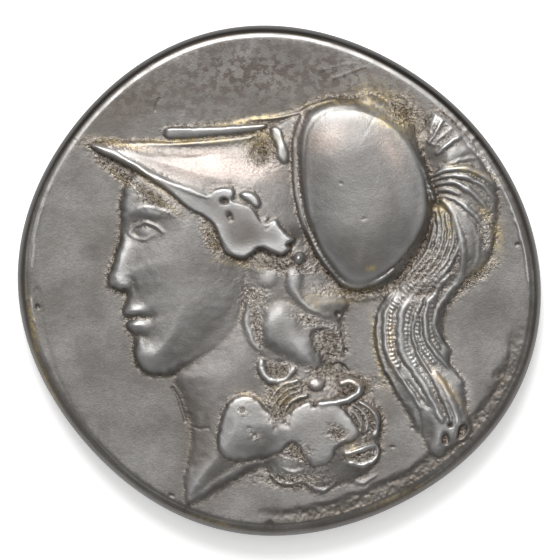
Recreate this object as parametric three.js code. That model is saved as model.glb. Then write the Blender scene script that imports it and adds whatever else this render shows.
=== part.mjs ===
import * as THREE from 'three';

// A struck silver didrachm lying on its reverse: a helmeted head to the left on top, a rosette below.
// Millimetres, +Z up, the middle of the underside at the origin.

// The flan
const COIN_WIDTH = 22.5;
const COIN_HEIGHT = 21.95;
const FIELD_LEVEL = 2.15;
const SHOULDER_WIDTH = 0.52;
const SHOULDER_DROP = 0.75;
const SHOULDER_CURVE = 2.2;
const SHOULDER_STEPS = 4;
const REVERSE_SHOULDER_WIDTH = 0.6;
const REVERSE_SHOULDER_DROP = 0.4;
const REVERSE_SHOULDER_STEPS = 2;

// The hammered outline leaves the oval by a few shallow waves: order, share of the radius, phase in degrees
const OUTLINE_WAVES = [
  [1, 0.0099, 130],
  [2, 0.0172, 55],
  [3, 0.0082, 33],
  [4, 0.0084, 14],
  [5, 0.0047, 168],
];

// The ledge where the flan spread past the die, lower right: middle and half spread in degrees, then mm
const LEDGE_MIDDLE = -52;
const LEDGE_SPREAD = 46;
const LEDGE_WIDTH = 0.86;
const LEDGE_DEPTH = 0.13;

// The obverse picture is drawn on a square sheet of 560 units, x to the right and y down
const SHEET_SIZE = 24.08;
const SHEET_UNITS = 560;
const UNIT = SHEET_SIZE / SHEET_UNITS;
const SHEET_MIDDLE = SHEET_UNITS / 2;
const PICTURE_FADE = 0.3;

// Heights over the field
const HELMET_RIDGE = 0.72;
const HELMET_TOP_EDGE = 0.08;
const HELMET_LOWER_EDGE = 0.66;
const BAR_HEIGHT = 0.2;
const BORDER_HEIGHT = 0.5;
const BOWL_TOP = 0.92;
const RIM_LINE_HEIGHT = 0.1;
const SEAM_HEIGHT = 0.12;
const RECESS_DEPTH = 0.16;
const SCROLL_LEVEL = 0.68;
const SCROLL_HEIGHT = 0.06;
const CREST_BASE_TOP = 0.56;
const CREST_BODY = 0.34;
const TAIL_BODY = 0.25;
const STRAND_HEIGHT = 0.13;
const HEAD_EDGE = 0.16;
const HEAD_BODY = 0.44;
const NECK_BODY = 0.4;
const NECK_END_HEIGHT = 0.08;
const HAIR_BODY = 0.34;
const LOCK_HEIGHT = 0.12;
const CURL_HEIGHT = 0.16;
const LOBE_STEP = 0.2;
const LOBE_BODY = 0.05;

// The head: brow point on the sheet, one third of the face in sheet units, lean of the face in degrees
const BROW_X = 121;
const BROW_Y = 212;
const FACE_THIRD = 81;
const FACE_LEAN = 6;

// The reverse: a rosette in a ring of lozenges. Places are shares of the way from the middle to the rim.
const REVERSE_DEPTH = 0.3;
const RING_LOZENGES = 16;
const RING_REACH = Math.exp(-Math.PI / 8);
const PETALS = 8;
const PETAL_REACH = Math.exp((-3 * Math.PI) / 8);
const HUB_REACH = 0.2;
const BEVEL_SHARE = 0.25;

// The mesh: finest steps from the middle to the rim (a power of two), triangles in all and at most on
// the reverse, and the smallest miss worth a triangle
const CELLS = 256;
const TRIANGLES = 9850;
const REVERSE_TRIANGLES = 1500;
const FINEST_MISS = 0.002;
const FACE_CARE = 2.5;
const MISS_REACH = 0.8;
const RIM_STEP = 8;
const MIDDLE_STEP = 32;

const radians = (degrees) => (degrees * Math.PI) / 180;
const clamp01 = (t) => Math.min(1, Math.max(0, t));
const softRise = (t) => 1 - (1 - clamp01(t)) ** 2;
const smoothStep = (t) => clamp01(t) ** 2 * (3 - 2 * clamp01(t));

// The larger of two heights, with the corner between them rounded off
function blendMax(a, b, blend) {
  const most = Math.max(a, b);
  const soft = Math.min(blend, most);
  if (soft <= 0) return most;
  const near = Math.max(0, 1 - Math.abs(a - b) / soft);
  return most + (near * near * soft) / 4;
}

// A smooth line through the points
function smoothLine(points, closed = false, steps = 6) {
  const count = points.length;
  const at = (i) => {
    if (closed) return points[(i + count) % count];
    return points[Math.min(count - 1, Math.max(0, i))];
  };
  const line = [];
  const spans = closed ? count : count - 1;
  for (let i = 0; i < spans; i += 1) {
    const [before, start, end, after] = [at(i - 1), at(i), at(i + 1), at(i + 2)];
    for (let k = 0; k < steps; k += 1) {
      const t = k / steps;
      line.push([0, 1].map((n) => 0.5 * (
        2 * start[n] + (end[n] - before[n]) * t
        + (2 * before[n] - 5 * start[n] + 4 * end[n] - after[n]) * t * t
        + (3 * start[n] - before[n] - 3 * end[n] + after[n]) * t * t * t
      )));
    }
  }
  line.push(closed ? line[0] : points[count - 1]);
  return line;
}

// Distance to a line, the share of its length at the nearest point, and the side the point lies on
function nearest(line, x, y) {
  let best = Infinity;
  let length = 0;
  let place = 0;
  let side = 1;
  for (let i = 1; i < line.length; i += 1) {
    const [ax, ay] = line[i - 1];
    const dx = line[i][0] - ax;
    const dy = line[i][1] - ay;
    const span = Math.hypot(dx, dy) || 1e-9;
    const t = clamp01(((x - ax) * dx + (y - ay) * dy) / (span * span));
    const ex = x - ax - t * dx;
    const ey = y - ay - t * dy;
    const away = ex * ex + ey * ey;
    if (away < best) {
      best = away;
      place = length + t * span;
      side = dx * ey - dy * ex;
    }
    length += span;
  }
  return { distance: Math.sqrt(best), share: place / length, side };
}

function isInside(line, x, y) {
  let inside = false;
  for (let i = 1; i < line.length; i += 1) {
    const [ax, ay] = line[i - 1];
    const [bx, by] = line[i];
    if ((ay > y) !== (by > y) && x < ((bx - ax) * (y - ay)) / (by - ay) + ax) inside = !inside;
  }
  return inside;
}

// The same height function, nought outside the box round its line
function boxed(line, pad, heightAt) {
  const xs = line.map((p) => p[0]);
  const ys = line.map((p) => p[1]);
  const [left, right] = [Math.min(...xs) - pad, Math.max(...xs) + pad];
  const [top, bottom] = [Math.min(...ys) - pad, Math.max(...ys) + pad];
  return (x, y) => (x < left || x > right || y < top || y > bottom ? 0 : heightAt(x, y));
}

// A closed form with a soft step at its outline and a body that swells further in
function mound(outline, step, stepWidth, body = 0, reach = 1) {
  const line = smoothLine(outline, true);
  return boxed(line, 0, (x, y) => {
    if (!isInside(line, x, y)) return 0;
    const { distance } = nearest(line, x, y);
    return step * softRise(distance / stepWidth) + body * softRise(distance / reach);
  });
}

// A closed form with a level top and a soft bevel along its outline
function plateau(outline, height, bevel) {
  const line = smoothLine(outline, true);
  return boxed(line, 0, (x, y) => {
    if (!isInside(line, x, y)) return 0;
    return height * smoothStep(nearest(line, x, y).distance / bevel);
  });
}

// A closed form that climbs from its outline to a spine line, as a sharp ridge or a round back. It is as
// low as tip says where the spine starts.
function roof(outline, spine, { under, over, top, stepWidth, sharp, tip = 1 }) {
  const line = smoothLine(outline, true);
  const spineLine = smoothLine(spine);
  return boxed(line, 0, (x, y) => {
    if (!isInside(line, x, y)) return 0;
    const { distance } = nearest(line, x, y);
    const ridge = nearest(spineLine, x, y);
    const t = ridge.distance / (ridge.distance + distance + 1e-6);
    const edge = ridge.side > 0 ? under : over;
    const lift = sharp ? 1 - t : 1 - t * t;
    const taper = tip + (1 - tip) * softRise(2 * ridge.share);
    return (edge + (top - edge) * lift) * softRise(distance / stepWidth) * taper;
  });
}

// A rounded strand along a path, with its width and height at the start, the middle and the end
function strand(path, [w0, w1, w2], [h0, h1, h2]) {
  const line = smoothLine(path);
  const along = (a, b, c, t) => (t < 0.5 ? a + (b - a) * 2 * t : b + (c - b) * (2 * t - 1));
  return boxed(line, Math.max(w0, w1, w2) / 2, (x, y) => {
    const { distance, share } = nearest(line, x, y);
    const t = distance / (along(w0, w1, w2, share) / 2);
    return t < 1 ? along(h0, h1, h2, share) * (1 - t * t) : 0;
  });
}

// Square of a point's distance from an oval's middle, 1 on its outline
function ovalShare(x, y, [cx, cy, rx, ry, lean]) {
  const a = radians(lean);
  const u = (x - cx) * Math.cos(a) + (y - cy) * Math.sin(a);
  const v = (y - cy) * Math.cos(a) - (x - cx) * Math.sin(a);
  return (u / rx) ** 2 + (v / ry) ** 2;
}

const dimple = (oval, height) => (x, y) => height * Math.max(0, 1 - ovalShare(x, y, oval));
const swell = (oval, height) => (x, y) => height * Math.exp(-ovalShare(x, y, oval));

const highest = (forms, x, y) => forms.reduce((most, form) => Math.max(most, form(x, y)), 0);
const total = (forms, x, y) => forms.reduce((sum, form) => sum + form(x, y), 0);

// The helmet: a pointed visor and cheek-piece left of a large smooth bowl
const HELMET_OUTLINE = [
  [94, 143], [130, 139.5], [169, 141], [220, 136.5], [246, 134], [268, 127], [286, 119], [303, 113],
  [311, 128], [306, 160], [306, 195], [313, 224], [303, 246], [291, 250], [283, 255], [272, 253],
  [261, 248], [256, 251], [246, 258], [234, 257], [223, 250], [214, 226], [205, 217], [187, 207],
  [169, 191], [151, 179], [125, 164], [98, 151],
];
const HELMET_SPINE = [
  [96, 145], [116, 152.5], [142.5, 167], [169, 181], [192, 190], [206, 197], [226, 199], [250, 202],
  [272, 210], [296, 226],
];
const SCROLL_OUTLINE = [
  [207, 199], [211, 194], [217, 189.5], [226, 187], [233, 188], [236, 194], [232, 200], [240, 202],
  [250, 205], [256, 211], [261, 220], [266.5, 224], [271, 220], [277, 219], [287, 232], [297, 241],
  [291, 250], [283, 256], [272, 250], [261, 249], [250, 257.5], [240, 258], [230, 251], [223, 238],
  [215, 226],
];
const BOWL_OUTLINE = [
  [304, 172], [304.5, 150], [308, 130], [317, 117], [330, 109.5], [345, 107], [361, 108], [376, 113],
  [391, 121], [403, 132], [413, 146], [421, 163], [427, 181], [428.5, 199], [427, 217], [421, 233],
  [412, 247], [402, 259], [391, 269], [378, 277.5], [366, 282.5], [355, 283], [344, 277], [332, 263.5],
  [321, 247], [313, 229], [307, 206],
];
const BORDER_OUTLINE = [
  [294, 165], [294, 142], [297, 127], [304, 113], [315, 105], [330, 99], [347, 97.5], [363, 100.5],
  [379, 107], [394, 116], [406, 127], [417, 142], [426, 160], [433, 181], [435.5, 201], [433.5, 220],
  [427, 237], [417, 252], [406, 264], [394, 274.5], [381, 284], [367, 290], [353, 291], [339, 284],
  [326, 269.5], [314, 253], [305, 232], [298, 208],
];
const BOWL_SPINE = [[350, 158], [360, 193], [364, 220]];
const RIM_LINE = [
  [303, 114], [298, 128], [295, 142], [295, 165], [300, 208], [306.5, 229], [316, 249], [327, 266],
  [338, 279], [352, 287], [367, 286], [382, 279],
];
const BAR_OUTLINE = [
  [165, 131.5], [167.5, 127.8], [200, 126.6], [231, 125.4], [268, 123.6], [269.5, 127], [231, 132.5],
  [200, 135], [180, 137], [168, 136],
];
const BAR_SPINE = [[168, 130], [200, 128.6], [267, 125.3]];
const BROW_LINE = [[240, 122], [275, 117.5], [300, 112], [312, 105.5], [334, 99.5]];
const SEAM_OUTLINE = [
  [268, 126], [274, 125], [281, 130], [284.5, 142], [289, 152], [288, 160], [283, 162], [278.5, 157],
  [276, 146], [271, 136],
];

function makeHelmet() {
  const cap = roof(HELMET_OUTLINE, HELMET_SPINE, {
    under: HELMET_LOWER_EDGE, over: HELMET_TOP_EDGE, top: HELMET_RIDGE, stepWidth: 5, sharp: true, tip: 0.4,
  });
  const border = mound(BORDER_OUTLINE, BORDER_HEIGHT, 10);
  const bowl = roof(BOWL_OUTLINE, BOWL_SPINE, {
    under: BORDER_HEIGHT, over: BORDER_HEIGHT, top: BOWL_TOP, stepWidth: 3, sharp: false,
  });
  const bar = roof(BAR_OUTLINE, BAR_SPINE, {
    under: BAR_HEIGHT / 3, over: BAR_HEIGHT / 3, top: BAR_HEIGHT, stepWidth: 3, sharp: true,
  });
  const rim = strand(RIM_LINE, [9, 11, 9], [0.7, 1, 0.6].map((k) => k * RIM_LINE_HEIGHT));
  const browLine = strand(BROW_LINE, [6, 7, 8], [0.3, 0.6, 1].map((k) => k * BAR_HEIGHT));
  const seam = plateau(SEAM_OUTLINE, SEAM_HEIGHT, 4);
  const recess = swell([262, 148, 12, 18, 0], RECESS_DEPTH);
  const scroll = plateau(SCROLL_OUTLINE, 1, 7);
  const eye = dimple([225, 200, 5, 5, 0], SCROLL_HEIGHT * 2);
  return (x, y) => {
    const capHeight = cap(x, y);
    const bowlHeight = bowl(x, y);
    let height = blendMax(blendMax(capHeight, border(x, y), 0.1), bowlHeight, 0.05);
    if (capHeight > 0 && bowlHeight <= 0) height -= recess(x, y);
    height += rim(x, y) + seam(x, y);
    height = Math.max(height, 0.9 * height + bar(x, y), browLine(x, y));
    if (height > SCROLL_LEVEL / 2) height += (SCROLL_LEVEL - height + SCROLL_HEIGHT) * scroll(x, y);
    return height - eye(x, y);
  };
}

// The crest: a base band, a fan of hair behind the bowl and a long tail down the neck
const CREST_BASE = [[384, 118], [397, 128], [409, 147], [419, 162], [427, 175], [432, 192]];
const FAN_OUTLINE = [
  [402, 128], [415, 117], [432, 108], [448, 116], [470, 137], [486, 160], [497, 185], [499, 215],
  [494, 248], [486, 266], [471, 278], [452, 296], [415, 300], [398, 285], [410, 262], [425, 240],
  [434, 200], [425, 172], [412, 147],
];
const TAIL_OUTLINE = [
  [388, 290], [381, 304], [375, 334], [378, 356], [385, 374], [395, 390], [407, 410], [430, 452],
  [440, 458], [452, 448], [468, 440], [474, 425], [468, 408], [470, 398], [464, 384], [452, 366],
  [446, 340], [444, 324], [447, 308], [462, 286], [440, 280], [410, 284],
];
const CREST_STRANDS = [
  { width: 10, path: [[432, 140], [438, 126], [446, 113]] },
  { width: 12, path: [[438, 157], [455, 144], [474, 134]] },
  { width: 10, path: [[430, 174], [446, 167], [462, 167], [478, 172], [498, 188]] },
  { width: 10, path: [[431, 189], [446, 183], [464, 188], [480, 200], [492, 218]] },
  { width: 12, path: [[438, 198], [456, 202], [473, 213], [484, 230], [484, 250]] },
  { width: 15, path: [[440, 205], [451, 212], [458, 228], [462, 250], [463, 282]] },
  { width: 12, path: [[432, 206], [438, 230], [430, 256], [404, 290]] },
];
const TAIL_STRANDS = [
  { width: 10, path: [[396, 295], [382, 310], [379.5, 334], [385, 362], [400, 388], [413, 406]] },
  { width: 8, path: [[410, 290], [393, 312], [391, 340], [402, 368], [420, 396], [428, 410]] },
  { width: 13, path: [[431, 268], [419, 289], [400, 318], [398, 338], [406, 360], [428, 391], [446, 424]] },
  { width: 13, path: [[443, 276], [425, 309], [417, 325], [419, 341], [436, 371], [456, 401], [464, 416]] },
  { width: 12, path: [[456, 290], [441, 310], [434, 330], [441, 352], [463, 388]] },
];

function makeCrest() {
  const fan = mound(FAN_OUTLINE, CREST_BODY * 0.15, 5, CREST_BODY * 0.85, 40);
  const tail = mound(TAIL_OUTLINE, TAIL_BODY * 0.25, 5, TAIL_BODY * 0.75, 26);
  const base = strand(CREST_BASE, [13, 13, 13], [0.62, 1, 0.92].map((k) => k * CREST_BASE_TOP));
  const strands = [...CREST_STRANDS, ...TAIL_STRANDS].map(({ width, path }) => strand(
    path,
    [width, width * 1.1, width * 0.8],
    [STRAND_HEIGHT * 0.8, STRAND_HEIGHT, STRAND_HEIGHT * 0.6],
  ));
  const pits = [dimple([446, 439, 3.5, 6, 0], 0.2), dimple([462, 431, 4, 9, 15], 0.22)];
  return (x, y) => {
    const body = blendMax(blendMax(fan(x, y), tail(x, y), 0.06), base(x, y), 0.05);
    return body + highest(strands, x, y) - total(pits, x, y);
  };
}

// The head: a plain ideal profile. Points are thirds of the face, forward and down from the brow.
const PROFILE = [
  [0.02, -0.1], [0.03, 0], [-0.01, 0.12], [0.04, 0.3], [0.15, 0.58], [0.245, 0.8], [0.235, 0.9],
  [0.13, 0.965], [0.03, 1], [0.05, 1.1], [0.1, 1.21], [0.09, 1.275], [0.03, 1.315], [0.075, 1.37],
  [0.07, 1.44], [0, 1.545], [0.02, 1.66], [0.03, 1.78], [-0.02, 1.93], [-0.14, 2.03], [-0.35, 2.07],
];
const JAW = [
  [-0.6, 2], [-0.95, 1.85], [-1.25, 1.62], [-1.42, 1.3], [-1.5, 0.9], [-1.55, 0.4], [-1.5, 0],
  [-1.2, -0.2], [-0.6, -0.3],
];
const NECK_OUTLINE = [
  [176, 372], [182, 392], [188, 412], [192, 432], [190, 455], [184, 478], [187, 501], [200, 497],
  [225, 484], [262, 463], [300, 430], [310, 380], [300, 300], [250, 290], [200, 330],
];
const NECK_END_OUTLINE = [
  [184, 502], [197, 492], [208, 483], [220, 474.5], [232, 467], [243, 462], [258, 459], [272, 456],
  [284, 452], [276, 460], [262, 466.5], [250, 473], [238, 480], [226, 487.5], [211, 496], [195, 504],
];

function facePoint([forward, down]) {
  const a = radians(FACE_LEAN);
  return [
    BROW_X - FACE_THIRD * (forward * Math.cos(a) - down * Math.sin(a)),
    BROW_Y + FACE_THIRD * (down * Math.cos(a) + forward * Math.sin(a)),
  ];
}

function faceSwell(forward, down, long, tall, height, turn = 0) {
  const [x, y] = facePoint([forward, down]);
  return swell([x, y, long * FACE_THIRD, tall * FACE_THIRD, FACE_LEAN + turn], height);
}

function makeHead() {
  const head = mound([...PROFILE, ...JAW].map(facePoint), HEAD_EDGE, 8, HEAD_BODY, 70);
  const neck = mound(NECK_OUTLINE, NECK_BODY * 0.1, 8, NECK_BODY, 55);
  const features = [
    faceSwell(-0.3, 0.02, 0.3, 0.07, 0.09),
    faceSwell(-0.22, 0.24, 0.2, 0.13, -0.14),
    faceSwell(-0.27, 0.27, 0.11, 0.075, 0.12),
    faceSwell(0.08, 0.62, 0.09, 0.3, 0.1, 14),
    faceSwell(0.06, 0.9, 0.09, 0.07, 0.08),
    faceSwell(-0.07, 0.92, 0.035, 0.1, -0.05, -20),
    faceSwell(-0.42, 0.85, 0.3, 0.3, 0.05),
    faceSwell(-0.04, 1.22, 0.12, 0.045, 0.09, -8),
    faceSwell(-0.08, 1.315, 0.15, 0.022, -0.09, -4),
    faceSwell(-0.05, 1.4, 0.11, 0.045, 0.08, 4),
    faceSwell(-0.1, 1.55, 0.14, 0.05, -0.05),
    faceSwell(-0.14, 1.78, 0.15, 0.14, 0.08),
  ];
  const lids = [
    strand([[-0.08, 0.26], [-0.18, 0.18], [-0.3, 0.165], [-0.42, 0.22], [-0.5, 0.3]].map(facePoint),
      [4.5, 5, 4], [0.05, 0.09, 0.04]),
    strand([[-0.09, 0.28], [-0.18, 0.345], [-0.29, 0.355], [-0.41, 0.31]].map(facePoint),
      [3.5, 4, 3.5], [0.03, 0.05, 0.02]),
  ];
  return (x, y) => {
    const headHeight = head(x, y);
    const modelling = total(features, x, y) * clamp01(headHeight / 0.2);
    return blendMax(headHeight, neck(x, y), 0.22) + modelling + total(lids, x, y);
  };
}

// The hair at the nape: falling locks, then a cluster of curls with two large smooth ones
const HAIR_OUTLINE = [
  [240, 268], [262, 256], [285, 256], [306, 250], [334, 280], [350, 304], [344, 318], [346, 352],
  [334, 364], [346, 372], [368, 390], [378, 402], [383, 418], [380, 455], [374, 470], [356, 475],
  [336, 485], [320, 490], [305, 486], [285, 485], [262, 458], [240, 440], [232, 420], [252, 398],
  [268, 386], [262, 362], [246, 345], [237, 300],
];
const CURL_OUTLINES = [
  [
    [230, 401], [240, 394.5], [254, 395], [267, 408], [270, 416], [274, 426], [281, 430], [291, 427],
    [295, 438], [288, 447], [270, 457], [245, 461], [232, 460], [222, 455], [218, 446], [217.5, 432],
    [221, 419], [226, 408],
  ],
  [
    [291, 418], [291.5, 409], [304, 400.5], [317, 402], [333, 400.5], [348, 409], [361, 427], [359, 437],
    [345, 446], [333, 458], [314, 468], [309.5, 461], [311, 454], [304, 447], [293, 432],
  ],
];
const LOCK_OUTLINES = [
  [
    [286, 268], [294, 262], [303, 267], [305.5, 280], [303.5, 290], [309, 299], [318, 307], [331, 314],
    [327, 318], [304, 311], [295, 302], [287, 293], [283.5, 281],
  ],
  [
    [277, 301], [286, 299], [296, 304], [304, 313], [302, 331], [314, 343], [323, 366], [317, 373],
    [298, 362], [274, 354], [260.5, 340], [259, 329], [262, 317],
  ],
  [
    [249, 296], [243, 304], [240.5, 318], [242.5, 331], [248, 342], [256, 351], [265, 356], [267, 351],
    [256, 331], [254, 318], [258, 299],
  ],
];
const CURLS = [
  { width: 8, path: [[263, 363], [264, 372], [270, 379], [280, 381], [290, 375]] },
  { width: 9, path: [[271, 407], [277, 393], [287, 387], [300, 382]] },
  { width: 9, path: [[281, 411], [288, 401], [298, 394], [308, 391]] },
  { width: 8, path: [[320, 404], [344, 400.5], [354, 396.5], [360, 390], [357, 383], [343, 382]] },
  { width: 12, path: [[358, 403], [369, 409], [376, 418], [376, 434]] },
  { width: 8, path: [[346, 453], [360, 449.5], [376, 445]] },
  { width: 9, path: [[350, 462], [362, 465], [377, 458]] },
  { width: 10, path: [[272, 475], [280, 482], [290, 484], [303, 480]] },
  { width: 10, path: [[308, 482], [321, 489.5], [335, 483]] },
];
const KNOT = [317, 383.5, 9, 7, 0];

const hairMass = mound(HAIR_OUTLINE, HAIR_BODY * 0.1, 8, HAIR_BODY, 40);

// Locks and curls stand over whatever lies under them
function makeLocks() {
  const locks = LOCK_OUTLINES.map((outline) => plateau(outline, LOCK_HEIGHT, 11));
  const large = CURL_OUTLINES.map((outline) => plateau(outline, LOBE_STEP, 11));
  const bodies = CURL_OUTLINES.map((outline) => mound(outline, 0, 1, LOBE_BODY, 22));
  const curls = CURLS.map(({ width, path }) => strand(
    path,
    [width, width, width * 0.8],
    [CURL_HEIGHT * 0.7, CURL_HEIGHT, CURL_HEIGHT * 0.6],
  ));
  const forms = [...locks, ...large, ...curls, dimple(KNOT, CURL_HEIGHT)];
  return (x, y) => highest(forms, x, y) + highest(bodies, x, y);
}

const helmet = makeHelmet();
const crest = makeCrest();
const head = makeHead();
const locks = makeLocks();
const neckEnd = plateau(NECK_END_OUTLINE, NECK_END_HEIGHT, 8);
const helmetLine = smoothLine(HELMET_OUTLINE, true);

// Height of the obverse picture over the field, for a point on the sheet
function pictureAt(x, y) {
  const metal = blendMax(helmet(x, y), crest(x, y), 0.05);
  if (isInside(helmetLine, x, y)) return metal;
  const skin = blendMax(head(x, y), hairMass(x, y), 0.12);
  return blendMax(metal, skin + neckEnd(x, y) + locks(x, y), 0.05);
}

// The outline: an oval with the waves of the hammered flan, fitted to the coin's width and height
const wavesAt = (angle) => OUTLINE_WAVES.reduce(
  (sum, [order, share, phase]) => sum + share * Math.cos(order * angle + radians(phase)),
  1,
);
const ROUND = Array.from({ length: 720 }, (_, i) => (2 * Math.PI * i) / 720);
const roughX = ROUND.map((a) => wavesAt(a) * Math.cos(a));
const roughY = ROUND.map((a) => wavesAt(a) * Math.sin(a));
const [west, east] = [Math.min(...roughX), Math.max(...roughX)];
const [south, north] = [Math.min(...roughY), Math.max(...roughY)];
const SCALE_X = COIN_WIDTH / (east - west);
const SCALE_Y = COIN_HEIGHT / (north - south);
const SHIFT_X = (-SCALE_X * (west + east)) / 2;
const SHIFT_Y = (-SCALE_Y * (south + north)) / 2;

// A point of the coin seen from above, for an angle and a share of the way to the rim
function planPoint(angle, share) {
  const reach = wavesAt(angle) * share;
  return [SHIFT_X + SCALE_X * reach * Math.cos(angle), SHIFT_Y + SCALE_Y * reach * Math.sin(angle)];
}

// Share of the way to the rim of a point that lies a given distance in from it, and the reverse
const RIM_SCALE = Math.min(SCALE_X, SCALE_Y);
const shareAt = (angle, inset) => 1 - inset / (wavesAt(angle) * RIM_SCALE);
const insetAt = (angle, share) => (1 - share) * wavesAt(angle) * RIM_SCALE;

// Ledge: the strip outside the die's edge lies a little lower
function ledgeDrop(angle, fromRim) {
  let turn = (angle * 180) / Math.PI - LEDGE_MIDDLE;
  turn = Math.abs(((turn + 540) % 360) - 180);
  const strength = smoothStep((LEDGE_SPREAD - turn) / 18);
  return LEDGE_DEPTH * strength * (1 - smoothStep((fromRim - LEDGE_WIDTH) / 0.22));
}

function obverseAt(x, y, angle, share) {
  const fromRim = insetAt(angle, share);
  const picture = pictureAt(SHEET_MIDDLE + x / UNIT, SHEET_MIDDLE - y / UNIT);
  const fade = smoothStep((fromRim - SHOULDER_WIDTH) / PICTURE_FADE);
  return FIELD_LEVEL - ledgeDrop(angle, fromRim) + picture * fade;
}

// The face gets finer triangles than the rest
const [FEATURES_X, FEATURES_Y] = facePoint([-0.1, 0.8]);
const careAt = (x, y) => {
  const oval = [FEATURES_X, FEATURES_Y, FACE_THIRD * 0.5, FACE_THIRD * 1.2, FACE_LEAN];
  return 1 + FACE_CARE * Math.exp(-ovalShare(SHEET_MIDDLE + x / UNIT, SHEET_MIDDLE - y / UNIT, oval));
};

// A ring of pointed lozenges that touch side to side: 1 on their flat tops, 0 between them
function lozengeRing(angle, reach, count, ringReach) {
  const half = Math.PI / count;
  const aside = Math.abs(angle - 2 * half * Math.round(angle / (2 * half)));
  const outward = Math.abs(Math.log(reach / ringReach));
  return clamp01((1 - (aside + outward) / half) / BEVEL_SHARE);
}

// Reverse: the tops are worn flat where they touch the table
function reverseAt(x, y, angle, share) {
  const reach = share / shareAt(angle, REVERSE_SHOULDER_WIDTH);
  const hub = clamp01((1 - reach / HUB_REACH) / BEVEL_SHARE);
  const ring = lozengeRing(angle, reach, RING_LOZENGES, RING_REACH);
  const petals = lozengeRing(angle, reach, PETALS, PETAL_REACH);
  return REVERSE_DEPTH * (1 - Math.max(hub, ring, petals));
}

// A face of the coin as right-angled triangles that split in half where the height needs it.
// The grid runs round the coin in two squares and from the middle to the rim on a log scale, so that
// every triangle keeps its shape.
function splitFace(heightAt, weightAt, margin, budget) {
  const around = 2 * CELLS;
  const count = around * (CELLS + 1);
  const points = Array.from({ length: count }, (_, n) => {
    const angle = (Math.PI * (n % around)) / CELLS;
    const share = shareAt(angle, margin) * Math.exp(-Math.PI * (1 - Math.floor(n / around) / CELLS));
    const [x, y] = planPoint(angle, share);
    return [x, y, heightAt(x, y, angle, share)];
  });
  const index = ([i, j]) => j * around + (i % around);
  const middle = (a, b) => [(a[0] + b[0]) / 2, (a[1] + b[1]) / 2];
  const halves = ([a, b, c]) => {
    const m = middle(a, b);
    return [[c, a, m], [b, c, m]];
  };
  const roots = [0, 1].flatMap((square) => {
    const [left, right] = [square * CELLS, (square + 1) * CELLS];
    const [a, b] = [[left, 0], [right, CELLS]];
    return [[a, b, [right, 0]], [b, a, [left, CELLS]]];
  });
  const depth = 2 * Math.log2(CELLS);

  // The worst miss at each middle point, with the misses of everything that hangs on it
  const miss = new Float64Array(count);
  for (let i = 0; i < around; i += 1) {
    if (i % RIM_STEP === 0) miss[index([i, CELLS])] = Infinity;
    if (i % MIDDLE_STEP === 0) miss[index([i, 0])] = Infinity;
  }
  const measure = (triangle, level, wanted) => {
    if (level < wanted) {
      for (const half of halves(triangle)) measure(half, level + 1, wanted);
      return;
    }
    const [a, b, c] = triangle;
    const m = middle(a, b);
    const [p, q, r] = [points[index(a)], points[index(b)], points[index(m)]];
    let worst = Math.abs(r[2] - (p[2] + q[2]) / 2) * Math.hypot(p[0] - q[0], p[1] - q[1]) ** MISS_REACH;
    worst *= weightAt(r[0], r[1]);
    if (level + 1 < depth) worst = Math.max(worst, miss[index(middle(c, a))], miss[index(middle(b, c))]);
    miss[index(m)] = Math.max(miss[index(m)], worst);
  };
  for (let level = depth - 1; level >= 0; level -= 1) {
    for (const root of roots) measure(root, 0, level);
  }

  const collect = (triangle, level, tolerance, out) => {
    if (level < depth && miss[index(middle(triangle[0], triangle[1]))] > tolerance) {
      for (const half of halves(triangle)) collect(half, level + 1, tolerance, out);
    } else {
      out.push(triangle);
    }
    return out;
  };
  const cover = (tolerance) => roots.flatMap((root) => collect(root, 0, tolerance, []));

  // The finest tolerance that stays within the budget
  let [fine, coarse] = [FINEST_MISS, 0.5];
  for (let n = 0; n < 16 && cover(fine).length > budget; n += 1) {
    const between = Math.sqrt(fine * coarse);
    if (cover(between).length > budget) fine = between;
    else coarse = between;
  }
  const tolerance = cover(fine).length > budget ? coarse : fine;
  return { points, triangles: cover(tolerance).map((triangle) => triangle.map(index)), around };
}

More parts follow.
